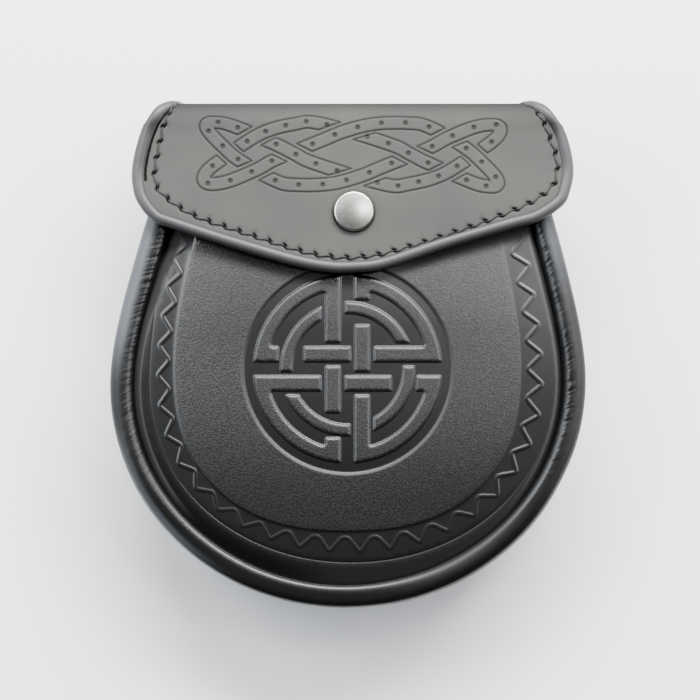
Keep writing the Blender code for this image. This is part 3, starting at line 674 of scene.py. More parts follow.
sheet = leather_sheet(
    "back_fold_and_flap", sheet_edge,
    [(tooling, 0.2), (punching, 0.2), (pricking, 0.2), (groove_rows, 0.25), (seam_rows, 0.5),
     *sheet_ground((1.6, 1.8, 1.0), (1.2, 3.0, 0.9), (3.0, 3.4, 1.4))],
    sheet_ground((4.0, 4.6, 2.0), (1.2, 4.0, 1.0), (4.6, 5.2, 2.0)),
    BACK_LEATHER, flap_relief, on_fold, flap_leather, corner=0.6)
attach(sheet, "root")
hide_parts("back_and_flap")

# =====================================================================================================
# Front panel.
# A second sheet, wet-moulded to a dome: a raised grained field with a round knot medallion pressed into
# it, a smooth border round it with a stamped zigzag, and a scored line outside that.
# =====================================================================================================
MOUTH_Y = 84.0
RIM_Z, RIM_Z_LOSS, RIM_RADIUS = 39.0, 4.5, 4.8
PANEL_CREST_Z, PANEL_CREST_LOSS, PANEL_EDGE_RISE = 45.5, 5.0, 1.0
PANEL_LEATHER = 3.0
PANEL_INSET = 2 * RIM_RADIUS - 0.3

MEDALLION = np.array([-0.2, -6.1])
SUNK_RADIUS, SUNK_DEPTH, BAND_PROUD = 41.4, 0.75, 0.1
BAND_ROUNDING, DISC_ROUNDING = 1.5, 0.95
OUTER_ARC, INNER_ARC = (31.8, 37.8), (21.8, 27.0)
BAR_OFFSET, BAR_WIDTH, CROSS_GAP, BAR_LOW = 5.8, 6.6, 1.1, 4.0
STUB_TOP = OUTER_ARC[0] - 4.6

# Half width, widest level, drop, roundness of the bowl, taper of the sides, middle x
FIELD_EDGE = (69.3, -5.0, 66.0, 2.4, 0.26, -0.2)
SCORED_LINE = (80.7, -12.0, 71.4, 2.05, 0.18, 1.3)
FIELD_RISE, SCORE_DEPTH, SCORE_REACH = 0.46, 0.26, 0.3
ZIGZAG_PITCH, ZIGZAG_START, ZIGZAG_INNER, ZIGZAG_OUTER = 11.9, 4.2, 0.2, 0.68
ZIGZAG_FLAT, ZIGZAG_FLAT_LOW = 0.5, 2.2       # how flat the inner corners are, and how much more low down
ZIGZAG_HEIGHT, ZIGZAG_TOP, ZIGZAG_REACH = 0.28, 0.25, 1.1
TURN_REACH, TURN_REACH_TOP, TURN_DEPTH = 2.4, 5.6, 0.85    # the edge's turned strip, wider at the top left


def rim_z(y):
    """Level of the front roll's middle, lower towards the mouth."""
    return RIM_Z - RIM_Z_LOSS * fade(y, -10, MOUTH_Y + 1)


def bowl(half_width, widest, drop, roundness, taper, middle_x):
    """A line like the pouch's own outline: left mouth, down round the bottom, up to the right mouth."""
    levels = np.linspace(MOUTH_Y + 4, widest, 90)[:-1]
    sides = half_width - taper * (np.hypot(levels - widest, SIDE_EASE) - SIDE_EASE)
    turn = np.linspace(0, pi / 2, 91)
    quarter = np.column_stack([-half_width * np.cos(turn) ** (2 / roundness),
                               widest - drop * np.sin(turn) ** (2 / roundness)])
    half = np.vstack([np.column_stack([-sides, levels]), quarter])
    return np.vstack([half, half[:-1][::-1] * (-1, 1)]) + (middle_x, 0)


field_edge, scored_line = bowl(*FIELD_EDGE), bowl(*SCORED_LINE)
panel_cut = body_edge(PANEL_INSET, MOUTH_Y)


def turned_edge(points):
    """How far the panel's edge is turned down into the seam along the sides, and how matt it is there."""
    x, y = points.T
    reach = TURN_REACH + (TURN_REACH_TOP - TURN_REACH) * fade(x, 0, -40) * fade(y, 5, 50)
    along_sides = fade(np.abs(x), 0, 40) * fade(y, -75, -35)
    apart = distance(points, [panel_cut]) / reach
    drop = along_sides * TURN_DEPTH * reach * fade(apart, 1, 0)
    return drop, along_sides * fade(apart, 1.5, 1) * np.where(x < 0, 1, 0.4)


def border_polish(points):
    """How far the border is polished: from the scored line out, most on the left."""
    x, y = points.T
    beyond = np.where(inside(points, scored_line), 0, distance(points, [scored_line]))
    share = fade(x, 0, -40) + 0.4 * fade(x, 0, 40) * fade(y, -60, -20)
    return share * fade(beyond, -0.5, 6.5)


def on_panel(x, y, out):
    """Points of the flat panel, domed and turned down at its sides."""
    edge = rim_z(y) + PANEL_EDGE_RISE
    crest = PANEL_CREST_Z - PANEL_CREST_LOSS * fade(y, 10, MOUTH_Y)
    drop, _ = turned_edge(np.column_stack([x, y]))
    return np.column_stack([x, y, edge + (crest - edge) * (1 - edge_share(x, y) ** 3) + out - drop])


def arc(radius, start, end):
    """Points on a circle about the knot's middle, from one angle to another."""
    return round_points(np.linspace(start, end, max(2, round(abs(end - start) / radians(3)) + 1)), radius)


def knot_outlines():
    """The knot's lower left quarter: hooked outer band, inner arc and middle bar, turned four times."""
    near, far = BAR_OFFSET - BAR_WIDTH / 2, BAR_OFFSET + BAR_WIDTH / 2
    inner_stop, outer_stop = near - CROSS_GAP, far + CROSS_GAP
    low, high = OUTER_ARC
    hook = np.vstack([
        [(-outer_stop, -near), (-outer_stop, -far)],
        arc(low, pi + asin(far / low), 1.5 * pi - asin(far / low)),
        [(-far, -STUB_TOP), (-near, -STUB_TOP)],
        arc(high, 1.5 * pi - asin(near / high), pi + asin(near / high)),
    ])
    low, high = INNER_ARC
    inner_arc = np.vstack([
        arc(low, pi + asin(outer_stop / low), 1.5 * pi + asin(inner_stop / low)),
        arc(high, 1.5 * pi + asin(inner_stop / high), pi + asin(outer_stop / high)),
    ])
    bar_low = BAR_LOW - low
    bar = np.array([(-far, bar_low), (-near, bar_low), (-near, inner_stop), (-far, inner_stop)])
    for quarter in range(4):
        c, s = round(cos(quarter * pi / 2)), round(sin(quarter * pi / 2))
        turn = np.array([(c, s), (-s, c)])
        for outline in (hook, inner_arc, bar):
            yield MEDALLION + even_loop(outline, 0.5, 3) @ turn


def nearest_on(line, point):
    """The point of a line that is nearest a given point."""
    reach = np.diff(line, axis=0)
    share = np.clip(((point - line[:-1]) * reach).sum(1) / (reach ** 2).sum(1), 0, 1)
    feet = line[:-1] + share[:, None] * reach
    return feet[np.argmin(np.hypot(*(feet - point).T))]


def zigzag():
    """The stamped line between the field's edge and the scored line, out and in by turns."""
    middle = (field_edge + scored_line) / 2
    lengths = lengths_along(middle)
    bottom = lengths[len(middle) // 2] + ZIGZAG_START      # the outer corner nearest the bottom's middle
    teeth = int(lengths[-1] / ZIGZAG_PITCH / 2)
    line = []
    for tooth in range(-teeth, teeth + 1):
        flat = ZIGZAG_FLAT_LOW * fade(abs(tooth), 5.75, 0.75) + ZIGZAG_FLAT
        for shift, share in ((0, ZIGZAG_OUTER), (ZIGZAG_PITCH / 2 - flat / 2, ZIGZAG_INNER),
                             (ZIGZAG_PITCH / 2 + flat / 2, ZIGZAG_INNER)):
            at = bottom + tooth * ZIGZAG_PITCH + shift
            if 0 < at < lengths[-1]:
                spot = points_at(middle, lengths, [at])[0]
                near, far = nearest_on(field_edge, spot), nearest_on(scored_line, spot)
                line.append(near + (far - near) * share)
    return np.array(line)


flap_tip = flap_edge(0.0)
flap_tip = on_fold(*flap_tip[flap_tip[:, 1] > FLAP_START + 46].T, 0.0)
knot = list(knot_outlines())
stamped = zigzag()
stamped = softened(resample(stamped[stamped[:, 1] < MOUTH_Y - 6], 0.7), 2)[2:-2]


def panel_relief(points):
    """Height of the pressed work over the dome, where it is grained, polished or matt, and where shade is
    painted on it.
    """
    x, y = points.T
    disc = np.hypot(*(points - MEDALLION).T) - SUNK_RADIUS
    bands = depth_inside(points, knot)
    field = distance(points, [field_edge])
    field[inside(points, field_edge)] *= -1
    upper, right = fade(y, -50, -10), fade(x, 5, 35)
    slope = 1.3 + 0.9 * upper + 2.2 * fade(x, 0, 30) * fade(y, -75, -15)       # width of the field's edge
    height = FIELD_RISE * (1 - 0.3 * upper) * (fade(field / slope, 0.5, -0.5) - 1)
    height -= SUNK_DEPTH * (1 - np.clip(disc / DISC_ROUNDING, 0, 1)) ** 2
    height += (SUNK_DEPTH + BAND_PROUD) * (1 - (1 - np.clip(-bands / BAND_ROUNDING, 0, 1)) ** 2)
    ridge = fade(distance(points, [stamped]), ZIGZAG_REACH, ZIGZAG_TOP)
    height += ZIGZAG_HEIGHT * ridge * (1 - 0.4 * fade(y, -40, -65))
    clear = 1 - fade(y, -66, -26) * (0.6 + 0.2 * fade(x, 0, 40))               # the score fades upwards
    height -= SCORE_DEPTH * clear * bell(distance(points, [scored_line]), 0, SCORE_REACH)

    in_field = fade(field, 0.24, -0.56)
    grained = in_field * np.maximum(fade(disc, 0.7, 1.4), fade(bands, 0.24, -0.56))
    grained *= 1 + 0.5 * fade(x + y, -10, -70)
    low = in_field * fade(y, -5, -65)
    covered = fade(np.interp(x, *flap_tip.T[:2]) - y, 9, 0)       # under the flap and just below it, where a shadow is painted
    polished = np.max([border_polish(points), 0.3 * low, 0.8 * covered * in_field * (1 - right)], axis=0)
    disc_lip = 0.35 * bell(disc, 0.6, 0.6)
    matt = np.max([turned_edge(points)[1], covered * np.maximum(right, 1 - in_field), disc_lip], axis=0)
    # Painted shade: the field is darker towards the bottom, and a shadow is painted under and just below the
    # flap.
    painted_shade = np.maximum(0.55 * low, covered)
    return height, {"grained": grained, "polished": polished, "matt": matt, "painted_shade": painted_shade}


panel_edge = even_loop(panel_cut, 0.9, 10)
pressing = np.vstack([rows_beside(line, (0.2, 0.45, 0.75, 1.1, 1.5, 1.9), 0.5, loop=True) for line in knot])
disc_steps = np.array([-0.8, -0.2, 0, 0.2, 0.4, 0.57, 0.74, 0.9, 1.06, 1.3, 1.7])
disc_rows = rings_round(MEDALLION, SUNK_RADIUS + disc_steps, 520)
stamping = rows_beside(stamped, (0.25, 0.45, 0.65, 0.85, 1.1, 1.4), 0.5)
lines = np.vstack([rows_beside(resample(field_edge, 1), (0.45, 0.22, 0.9), 1.0),
                   rows_beside(resample(scored_line, 1), (0.3, 0.6), 1.0)])

panel_leather = leather("grained_black_leather", BLACK, NEAR_BLACK,
                        roughness=0.54, polish=0.36, pebbles=1300, pore_share=0.75, depth=0.10,
                        grained=((0.014, 0.014, 0.014), 0.37),
                        marked_gloss={"polished": 0.16, "matt": 1.0}, marked_tones={"painted_shade": BLACK})
panel = leather_sheet(
    "domed_front_panel", panel_edge,
    [(pressing, 0.16), (stamping, 0.16), (disc_rows, 0.16), (lines, 0.18),
     (staggered(np.arange(-100, 90, 1.6), -95, 95, 1.8), 0.9)],
    [(staggered(np.arange(-100, 90, 4.0), -95, 95, 4.6), 2.0)],
    PANEL_LEATHER, panel_relief, on_panel, panel_leather, corner=0.8)
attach(panel, "root")
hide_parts("front_panel")

# =====================================================================================================
# Rolled edges.
# Strips of thin glossy leather rolled round a cord and caught in the seams: a thick one round the front,
# thin ones round the back seam and the flap. The front one is gathered along the pouch's sides.
# =====================================================================================================
GATHER_DEPTH, CREASE_DEPTH, SLOW_DEPTH = 0.26, 0.3, 0.12
SHOULDER_BULGE, HEEL_BULGE = 0.6, 0.6         # inwards at the upper left, outwards at the lower right
END_TURNS = np.radians((90, 70, 50, 30, 12))  # the rows that round a roll's end over


def leather_roll(name, path, radius, sides, relief, place, finish):
    """A roll along a flat path, with rounded ends; place puts (x, y, rise) where it belongs.

    relief gives how far each of its sides stands off its round, and named values for the finish.
    """
    lengths = lengths_along(path)
    inner = (lengths > radius) & (lengths < lengths[-1] - radius)
    end_places = radius * (1 - np.sin(END_TURNS))
    places = np.concatenate([end_places, lengths[inner], lengths[-1] - end_places[::-1]])
    narrow = np.concatenate([np.cos(END_TURNS), np.ones(inner.sum()), np.cos(END_TURNS[::-1])])
    line = points_at(path, lengths, places)
    left = points_at(sideways(path), lengths, places)
    turn = np.linspace(0, 2 * pi, sides, endpoint=False)
    rows, marks = [], {}
    for along, at, beside_it, share in zip(places, line, left, narrow):
        rise, found = relief(along, at, turn)
        reach = (radius + rise) * share
        flat = at + beside_it * (reach * np.sin(turn))[:, None]
        rows.append(np.column_stack([flat, reach * np.cos(turn)]))
        for label, values in found.items():
            marks.setdefault(label, []).append(values)
    for kept in (rows, *marks.values()):
        kept[0], kept[-1] = kept[0][:1], kept[-1][:1]      # each end closes on a single point
    points = np.vstack(rows)
    last = len(points) - 1
    faces = []
    for first in range(1, last - sides, sides):
        faces += band_faces(first, first + sides, sides)
    for tip, first in ((0, 1), (last, last - sides)):
        faces += [(tip, first + i, first + (i + 1) % sides) for i in range(sides)]
    marks = {label: np.concatenate(values) for label, values in marks.items()}
    return leather_mesh(name, place(*points.T), faces, finish, marks)


def wrinkles(place, turn, pitch, slant, spread, layer=0):
    """Uneven folds round a roll at one place along it: their spacing, how they lean, how they vary."""
    return np.array([noise.noise((place / pitch + slant * sin(t), cos(t) * spread, sin(t) * spread + layer))
                     for t in turn])


def rim_relief(place, at, turn):
    """The front roll's gathers, creases and fuller places, where it is matt, and where a paler sheen is
    painted on it.
    """
    x, y = at
    inward = np.sin(turn)          # 1 on the side towards the panel, -1 on the outer side
    gathered = fade(y, -62, -32)
    gathers = bell(turn, radians(28), radians(42)) * gathered * (0.9 if x > 0 else 1)
    creases = np.cos(turn - radians(10)).clip(0) * gathered * (0.3 if x > 0 else 0.2)
    fuller = fade(x, 5, 45)
    squarer = 2 + 1.3 * fade(y, -40, -85) * (1 - 0.7 * fuller)
    square = (np.abs(inward) ** squarer + np.abs(np.cos(turn)) ** squarer) ** (-1 / squarer) - 1
    rise = RIM_RADIUS * square + SLOW_DEPTH * noise.noise((place / 17, 0.4, 2.2))
    rise += GATHER_DEPTH * gathers * wrinkles(place, turn, 0.62, 5.0, 0.6, 7)
    rise += CREASE_DEPTH * creases * wrinkles(place, turn, 3.4, 1.6, 1.6)
    rise += SHOULDER_BULGE * (x < 0) * fade(y, 5, 40) * fade(inward, 0, 1 / 1.4)
    rise += HEEL_BULGE * fuller * fade(y, -45, -70) * fade(inward, 0.3, -0.7)

    outer_side = fade(y, -70, -20) * fade(inward, 0.5, -1 / 3)
    lower_right = bell(x, 42, 26) * fade(y, -50, -70) * fade(inward, -0.125, 0.5)
    lower_left = bell(x, -72, 17) * fade(y, -22, -40) * fade(inward, -0.125, -0.75)
    high_up = fade(y, -15, 15) if x < 0 else 0.5 * fade(y, 15, 45)
    # A painted sheen: a paler tone on the outer side at the lower left and high up, where light would catch
    # the roll.
    painted_sheen = np.maximum(lower_left, high_up * fade(inward, 5 / 12, -5 / 12))
    return rise, {"matt": np.maximum(outer_side, 0.8 * lower_right), "painted_sheen": painted_sheen}


def piping_relief(place, at, turn):
    """Slight unevenness of a thin roll."""
    return np.full(len(turn), 0.1 * noise.noise((place / 9, 1.7, 0.3))), {}


def on_seam(x, y, rise):
    """Points of a thin roll that is wrapped round the sheet's edge."""
    return on_fold(x, y, rise - BACK_LEATHER / 2)


# The marked tone is a painted sheen, pale and bluish, on parts of the front roll.
rolled_leather = leather("rolled_black_leather", BLACK, NEAR_BLACK,
                         roughness=0.36, polish=0.28, pebbles=1300, pore_share=0.6, depth=0.02, shine=0.32,
                         marked_gloss={"matt": 0.52}, marked_tones={"painted_sheen": (0.045, 0.049, 0.056)})
edge_leather = leather("edging_black_leather", (0.016, 0.016, 0.017), (0.022, 0.022, 0.023),
                       roughness=0.56, polish=0.44, pebbles=1300, pore_share=0.6, depth=0.02)

front_rim = leather_roll(
    "rolled_front_rim", body_edge(RIM_RADIUS, MOUTH_Y, 0.42), RIM_RADIUS, 56, rim_relief,
    lambda x, y, rise: np.column_stack([x, y, rim_z(y) + rise]), rolled_leather)

piping_top = FOLD_Y - BACK_BEND - 4
back_path = body_edge(PIPING_RADIUS, piping_top, 0.9)
back_piping = leather_roll("rolled_back_edge", back_path - (0, BACK_BOTTOM_Y), PIPING_RADIUS, 20,
                           piping_relief, on_seam, rolled_leather)

tail = piping_top + 0.3 - BACK_BOTTOM_Y
flap_path = np.vstack([[(back_path[0, 0], tail), (back_path[0, 0], tail + 6)], flap_edge(PIPING_RADIUS),
                       [(back_path[-1, 0], tail + 6), (back_path[-1, 0], tail)]])
flap_piping = leather_roll("rolled_flap_edge", resample(flap_path, 0.8), PIPING_RADIUS, 20,
                           piping_relief, on_seam, edge_leather)

for piece, node in ((front_rim, "front_rim"), (back_piping, "back_piping"), (flap_piping, "flap_piping")):
    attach(piece, "root")
    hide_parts(node)

# =====================================================================================================
# Gusset.
# A strip of thinner leather bent into a U, sewn between the back seam and the front roll. It bulges
# outwards and wrinkles a little.
# =====================================================================================================
GUSSET_LEATHER, GUSSET_ROWS, GUSSET_PITCH = 2.0, 15, 1.6
GUSSET_BULGE, WRINKLE_DEPTH, WRINKLE_PITCH = 1.6, 1.2, (16.0, 16.0)
WRINKLE_DRIFT = 1.2            # how much they change from the back to the front
SEAM_LAP = 0.2                 # how far its edges reach into the rolls


def make_gusset(finish):
    """The strip's outer and inner face, a row of points at each level between the seams."""
    middle = body_edge(RIM_RADIUS, MOUTH_Y, GUSSET_PITCH)
    outward = -sideways(middle)
    y = middle[:, 1]
    low = back_z(y) + BACK_EDGE_ROLL + BACK_LEATHER / 2 + PIPING_RADIUS - SEAM_LAP
    high = rim_z(y) - RIM_RADIUS + SEAM_LAP
    layers = []
    for side in (0.5, -0.5):
        layer = []
        for level in np.linspace(0, 1, GUSSET_ROWS):
            wrinkle = WRINKLE_DEPTH * unevenness(middle, WRINKLE_PITCH, level * WRINKLE_DRIFT)
            bulge = (GUSSET_BULGE + wrinkle) * (1 - (2 * level - 1) ** 2)
            flat = middle + outward * (side * GUSSET_LEATHER + bulge)[:, None]
            layer.append(np.column_stack([flat, low + (high - low) * level]))
        layers += layer[::1 if side > 0 else -1]
    count, rings = len(middle), len(layers)
    faces = []
    for row in range(rings):
        faces += band_faces(row * count, (row + 1) % rings * count, count, loop=False)
    for end in (0, count - 1):
        for row in range(GUSSET_ROWS - 1):
            other = rings - 1 - row
            faces.append(tuple(place * count + end for place in (row, row + 1, other - 1, other)))
    return leather_mesh("side_gusset", np.vstack(layers), faces, finish)


gusset_leather = leather("gusset_black_leather", (0.004, 0.004, 0.005), (0.009, 0.009, 0.010),
                         roughness=0.54, polish=0.40, pebbles=900, pore_share=0.4, depth=0.08)
gusset = make_gusset(gusset_leather)
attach(gusset, "root")
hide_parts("gusset")

# =====================================================================================================
# Snap fastener.
# A nickel-plated domed cap riveted through the flap, pressed onto a small stud on the front panel.
# =====================================================================================================
CAP_HEIGHT, CAP_CROWN = 3.0, 0.7      # over the flap, and how much of it is the shallow crown
CAP_ROLL, CAP_ROLL_DROP = 1.0, 1.1    # how wide and how deep its edge is rolled over
CAP_SHANK, STUD_SHANK = 2.1, 1.7
FOOT_GAP, FOOT_BEVEL = 0.3, 0.2       # between the leather and the foot behind it


def turned_piece(name, profile, sides, finish, place, normal):
    """A solid of revolution from (radius, height) pairs, stood on a wall along its outward direction."""
    turn = np.linspace(0, 2 * pi, sides, endpoint=False)
    points, rings = [], []
    for radius, height in profile:
        if radius == 0:
            rings.append([len(points)] * sides)
            points.append((0, 0, height))
        else:
            rings.append(list(range(len(points), len(points) + sides)))
            points += [(radius * cos(a), radius * sin(a), height) for a in turn]
    faces = []
    for low, high in zip(rings, rings[1:]):
        for i in range(sides):
            j = (i + 1) % sides
            faces.append(tuple(dict.fromkeys((low[i], low[j], high[j], high[i]))))
    piece = leather_mesh(name, points, faces, finish)
    piece.data.set_sharp_from_angle(angle=radians(50))
    piece.location = Vector(place) * MM
    piece.rotation_euler = Vector(normal).to_track_quat("Z", "Y").to_euler()
    return piece


def foot(leather_thickness, shank, radius, thickness, rounding):
    """The flat foot behind the leather at the end of a shank, as a turned profile down to its middle."""
    top = -leather_thickness - FOOT_GAP
    low = top - thickness
    return [(shank, top), (radius - rounding, top), (radius, top - FOOT_BEVEL), (radius, low + FOOT_BEVEL),
            (radius - rounding, low), (0, low)]


def metal(name, color, roughness):
    """Satin plated metal with faint scuffs and slight tarnish."""
    finish, tree, shader = new_finish(name)
    shader.inputs["Metallic"].default_value = 1.0
    where = place_node(tree, "TexCoord", "Object")
    tarnish = place_node(tree, "TexNoise", "Fac", {"Vector": where, "Scale": 420.0, "Detail": 4.0})
    scuffs = place_node(tree, "TexNoise", "Fac", {"Vector": where, "Scale": 1800.0, "Detail": 5.0})
    gloss = place_node(tree, "MapRange", "Result",
                       {"Value": scuffs, "To Min": roughness - 0.06, "To Max": roughness + 0.1})
    tone = blend_tones(tree, tarnish, [c * 0.86 for c in color], color)
    tree.links.new(tone, shader.inputs["Base Color"])
    tree.links.new(gloss, shader.inputs["Roughness"])
    add_bump(tree, shader, scuffs, 0.4, 0.01)
    return finish


nickel = metal("nickel_plate", (0.54, 0.53, 0.50), 0.28)
cap_shoulder = CAP_RADIUS - CAP_ROLL
cap_profile = [(0, CAP_HEIGHT)]
for share in np.arange(1, 11) / 10:
    cap_profile.append((cap_shoulder * share, CAP_HEIGHT - CAP_CROWN * share ** 2))
for angle in np.radians(np.arange(15, 91, 15)):
    drop = CAP_ROLL_DROP * (1 - cos(angle))
    cap_profile.append((cap_shoulder + CAP_ROLL * sin(angle), CAP_HEIGHT - CAP_CROWN - drop))
cap_profile += [(CAP_RADIUS, 0.6), (CAP_RADIUS - 0.15, 0.3), (CAP_RADIUS - 0.5, 0.12),
                (CAP_SHANK + 0.3, 0.12), (CAP_SHANK, -0.1)]
cap_profile += foot(BACK_LEATHER, CAP_SHANK, 4.4, 1.0, 0.3)
cap_place = on_fold(SNAP_X, snap_along, 0.0)[0]
cap_facing = (0, sin(FLAP_SLOPE), cos(FLAP_SLOPE))
cap = turned_piece("snap_cap_dome", cap_profile, 72, nickel, cap_place, cap_facing)
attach(cap, "root")
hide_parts("snap_cap")

stud_profile = [(0, 1.0), (2.2, 1.0), (2.6, 0.9), (2.8, 0.65), (2.7, 0.4), (STUD_SHANK, 0.3)]
stud_profile += foot(PANEL_LEATHER, STUD_SHANK, 4.2, 0.9, 0.2)
stud_place = on_panel(np.array([SNAP_X] * 3), SNAP_Y + np.array([-1.0, 0.0, 1.0]), 0.0)
stud_slope = (stud_place[2, 2] - stud_place[0, 2]) / 2
stud = turned_piece("snap_stud_post", stud_profile, 40, nickel, stud_place[1], (0, -stud_slope, 1))
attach(stud, "root")
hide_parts("snap_stud")

# =====================================================================================================
# Belt loops.
# Two strips of the back's own leather, sewn to it at both ends and standing off it in the middle, for
# the strap to pass through.
# =====================================================================================================
LOOP_X = {"left": -42.0, "right": 42.0}
LOOP_HALF_WIDTH, LOOP_CORNER, LOOP_LEATHER = 10.0, 1.5, 2.0
LOOP_FOOT, LOOP_RAMP, LOOP_SPAN = 11.0, 6.0, 20.0
LOOP_HALF = LOOP_SPAN / 2 + LOOP_RAMP + LOOP_FOOT
LOOP_MIDDLE_Y = RAISED_Y + 1 + LOOP_HALF


def loop_place(x, y, out):
    """Points of a flat strip, bent: out is the height over its outer face, which faces down here."""
    rise = LOOP_ROOM - 0.3 - LOOP_LEATHER
    ramp = fade(np.abs(y - LOOP_MIDDLE_Y), LOOP_SPAN / 2, LOOP_SPAN / 2 + LOOP_RAMP)
    return np.column_stack([x, y, rise * ramp - out])


def loop_relief(points):
    """A plain strip, given all over the darker tone that is painted on the fold and back as shade."""
    return np.zeros(len(points)), {"bent": np.ones(len(points))}


def rounded_rectangle(half_width, half_height, corner, step):
    """A closed outline round the origin."""
    turn = np.linspace(0, pi / 2, 9)
    outline = []
    for sign_x, sign_y, start in ((1, 1, 0), (-1, 1, pi / 2), (-1, -1, pi), (1, -1, 1.5 * pi)):
        middle = np.array([sign_x * (half_width - corner), sign_y * (half_height - corner)])
        outline.append(middle + round_points(turn + start, corner))
    return even_loop(np.vstack(outline), step)


for side, x in LOOP_X.items():
    node = f"belt_loop_{side}"
    outline = rounded_rectangle(LOOP_HALF_WIDTH, LOOP_HALF, LOOP_CORNER, 0.7) + (x, LOOP_MIDDLE_Y)
    ground = [(staggered(np.arange(LOOP_MIDDLE_Y - LOOP_HALF, LOOP_MIDDLE_Y + LOOP_HALF, 1.2),
                         x - LOOP_HALF_WIDTH, x + LOOP_HALF_WIDTH, 1.4), 0.7)]
    strip = leather_sheet(f"belt_loop_strip_{side}", outline, ground, ground, LOOP_LEATHER, loop_relief,
                          loop_place, flap_leather, corner=0.4)
    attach(strip, "root")
    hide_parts(node)

# =====================================================================================================
# Stitches.
# Waxed black thread, lock-stitched by machine along the flap's rolled edge: each stitch slants from one
# hole to the next and is pulled down into the leather at its ends.
# =====================================================================================================
THREAD_RADIUS, THREAD_END, THREAD_BOW = 0.34, 0.35, 0.35    # an end's share of the radius, and the curve
THREAD_SUNK, THREAD_RISE = -0.75, 0.95         # an end's level, and the middle's rise over it
BACK_SEAM_INSET, LOOP_SEAM_INSET, LOOP_PITCH = 7.2, 2.2, 3.0


def thread_runs(name, pairs, place, finish):
    """Short rounded threads from hole to hole, in one object."""
    sides, steps = 8, 9
    turn = np.linspace(0, 2 * pi, sides, endpoint=False)
    share = np.linspace(0, 1, steps)
    rise = THREAD_SUNK + THREAD_RISE * np.sin(pi * share) ** 0.45
    thick = THREAD_RADIUS * np.where((share == 0) | (share == 1), THREAD_END, 1.0)
    points, faces = [], []
    for start, end in pairs:
        run = end - start
        left = np.array([-run[1], run[0]]) / hypot(*run)
        line = start + run * share[:, None] + left * (THREAD_BOW * np.sin(2 * pi * share))[:, None]
        base = len(points)
        for at, height, radius in zip(line, rise, thick):
            points += [(*(at + left * radius * sin(a)), height + radius * cos(a)) for a in turn]
        for row in range(steps - 1):
            faces += band_faces(base + row * sides, base + (row + 1) * sides, sides)
        faces += [tuple(base + row * sides + i for i in range(sides)) for row in (0, steps - 1)]
    return leather_mesh(name, place(*np.array(points).T), faces, finish)


def thread_finish():
    """Waxed thread with the twist of its plies."""
    finish, tree, shader = new_finish("waxed_black_thread")
    shader.inputs["Roughness"].default_value = 0.7
    where = place_node(tree, "TexCoord", "Object")
    plies = place_node(tree, "TexWave", "Fac", {"Vector": where, "Scale": 900.0, "Distortion": 1.0},
                       bands_direction="DIAGONAL")
    tree.links.new(blend_tones(tree, plies, NEAR_BLACK, (0.006, 0.006, 0.006)), shader.inputs["Base Color"])
    add_bump(tree, shader, plies, 0.8, 0.06)
    return finish


def loop_stitches(x):
    """The stitches of one belt loop: a rectangle round each of its feet."""
    half = LOOP_HALF_WIDTH - LOOP_SEAM_INSET
    for end in (-1, 1):
        outer = LOOP_MIDDLE_Y + end * (LOOP_HALF - LOOP_SEAM_INSET)
        inner = LOOP_MIDDLE_Y + end * (LOOP_HALF - LOOP_FOOT + LOOP_SEAM_INSET)
        corners = np.array([(-half, outer), (half, outer), (half, inner), (-half, inner), (-half, outer)])
        for start, stop in zip(corners, corners[1:]):
            run = resample([start + (x, 0), stop + (x, 0)], LOOP_PITCH)
            for a, b in zip(run, run[1:]):
                yield a + (b - a) * 0.1, b - (b - a) * 0.1


thread = thread_finish()
back_holes = body_edge(BACK_SEAM_INSET, FOLD_Y - BACK_BEND - 8, STITCH_PITCH / 2) - (0, BACK_BOTTOM_Y)
seams = [("flap_seam_stitches", zip(holes, holes[1:]), on_fold),
         ("back_seam_stitches", zip(back_holes[::2], back_holes[1::2]), on_fold)]
seams += [(f"belt_loop_stitches_{side}", loop_stitches(x), loop_place) for side, x in LOOP_X.items()]
for name, pairs, place in seams:
    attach(thread_runs(name, pairs, place, thread), "root")

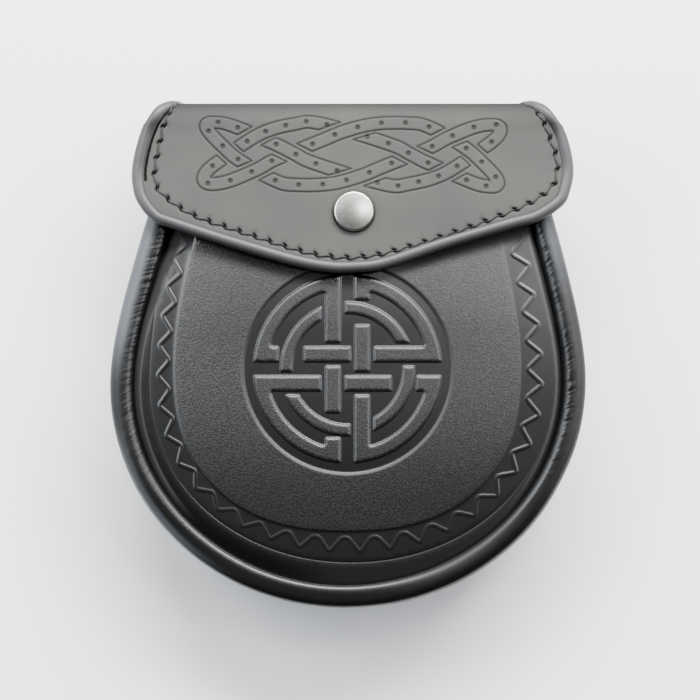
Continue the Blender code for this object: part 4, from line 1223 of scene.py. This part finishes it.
# =====================================================================================================
# Floor, light and camera.
# The pouch lies on its back on a plain pale floor, under a wide soft box from its top side, a weak fill
# on each side and two small near lamps that give the rolls and the snap their shine. The camera looks
# straight down on it.
# =====================================================================================================
bpy.ops.mesh.primitive_plane_add(size=8)
floor = bpy.context.object
floor.name = "floor"
paper, paper_tree, paper_shader = new_finish("pale_floor")
paper_shader.inputs["Roughness"].default_value = 0.9
paper_tint = place_node(paper_tree, "TexNoise", "Fac", {"Scale": 3.0})
paper_tone = blend_tones(paper_tree, paper_tint, (0.77, 0.77, 0.77), (0.79, 0.79, 0.79))
paper_tree.links.new(paper_tone, paper_shader.inputs["Base Color"])
floor.data.materials.append(paper)

AIM = Vector((0, 0, 0.04))
LIGHTS = (
    # name, place and size in metres, watts, colour
    ("top_soft_box", (0.25, 1.35, 1.08), (1.9, 0.5), 180, (1, 0.99, 0.96)),
    ("left_fill", (-1.2, 0.42, 0.84), (1.6, 1.0), 42, (0.86, 0.92, 1.0)),
    ("right_fill", (1.2, 0.42, 0.8), (1.6, 1.0), 40, (0.92, 0.94, 1.0)),
    ("right_lamp", (0.16, 0.17, 0.63), (0.13, 0.1), 1.1, (1, 1, 1)),
    ("left_lamp", (-0.42, 0.3, 0.55), (0.3, 0.25), 2.6, (1, 1, 1)),
)
for name, place, size, power, color in LIGHTS:
    light = bpy.data.lights.new(name, "AREA")
    light.shape = "RECTANGLE"
    light.size, light.size_y = size
    light.energy = power
    light.color = color
    lamp = bpy.data.objects.new(name, light)
    bpy.context.scene.collection.objects.link(lamp)
    lamp.location = place
    lamp.rotation_euler = (AIM - Vector(place)).to_track_quat("-Z", "Y").to_euler()
    lamp.visible_camera = False

world = bpy.data.worlds.new("studio")
bpy.context.scene.world = world
world.use_nodes = True
world.node_tree.nodes["Background"].inputs["Color"].default_value = (0.8, 0.82, 0.85, 1)
world.node_tree.nodes["Background"].inputs["Strength"].default_value = 0.05

PHOTO_MIDDLE = (0.8, 1.4)      # the point that the camera looks down on
CAMERA_LEVEL = 40.0            # the level of the front roll
PHOTO_WIDTH = 280.0            # what the picture spans at that level
CAMERA_HEIGHT = 1300.0         # above that level
camera_data = bpy.data.cameras.new("camera")
camera_data.sensor_width = 36.0
camera_data.lens = camera_data.sensor_width * CAMERA_HEIGHT / PHOTO_WIDTH
camera_data.clip_end = 20.0
camera = bpy.data.objects.new("camera", camera_data)
camera.location = Vector((*PHOTO_MIDDLE, CAMERA_LEVEL + CAMERA_HEIGHT)) * MM
bpy.context.scene.collection.objects.link(camera)
bpy.context.scene.camera = camera
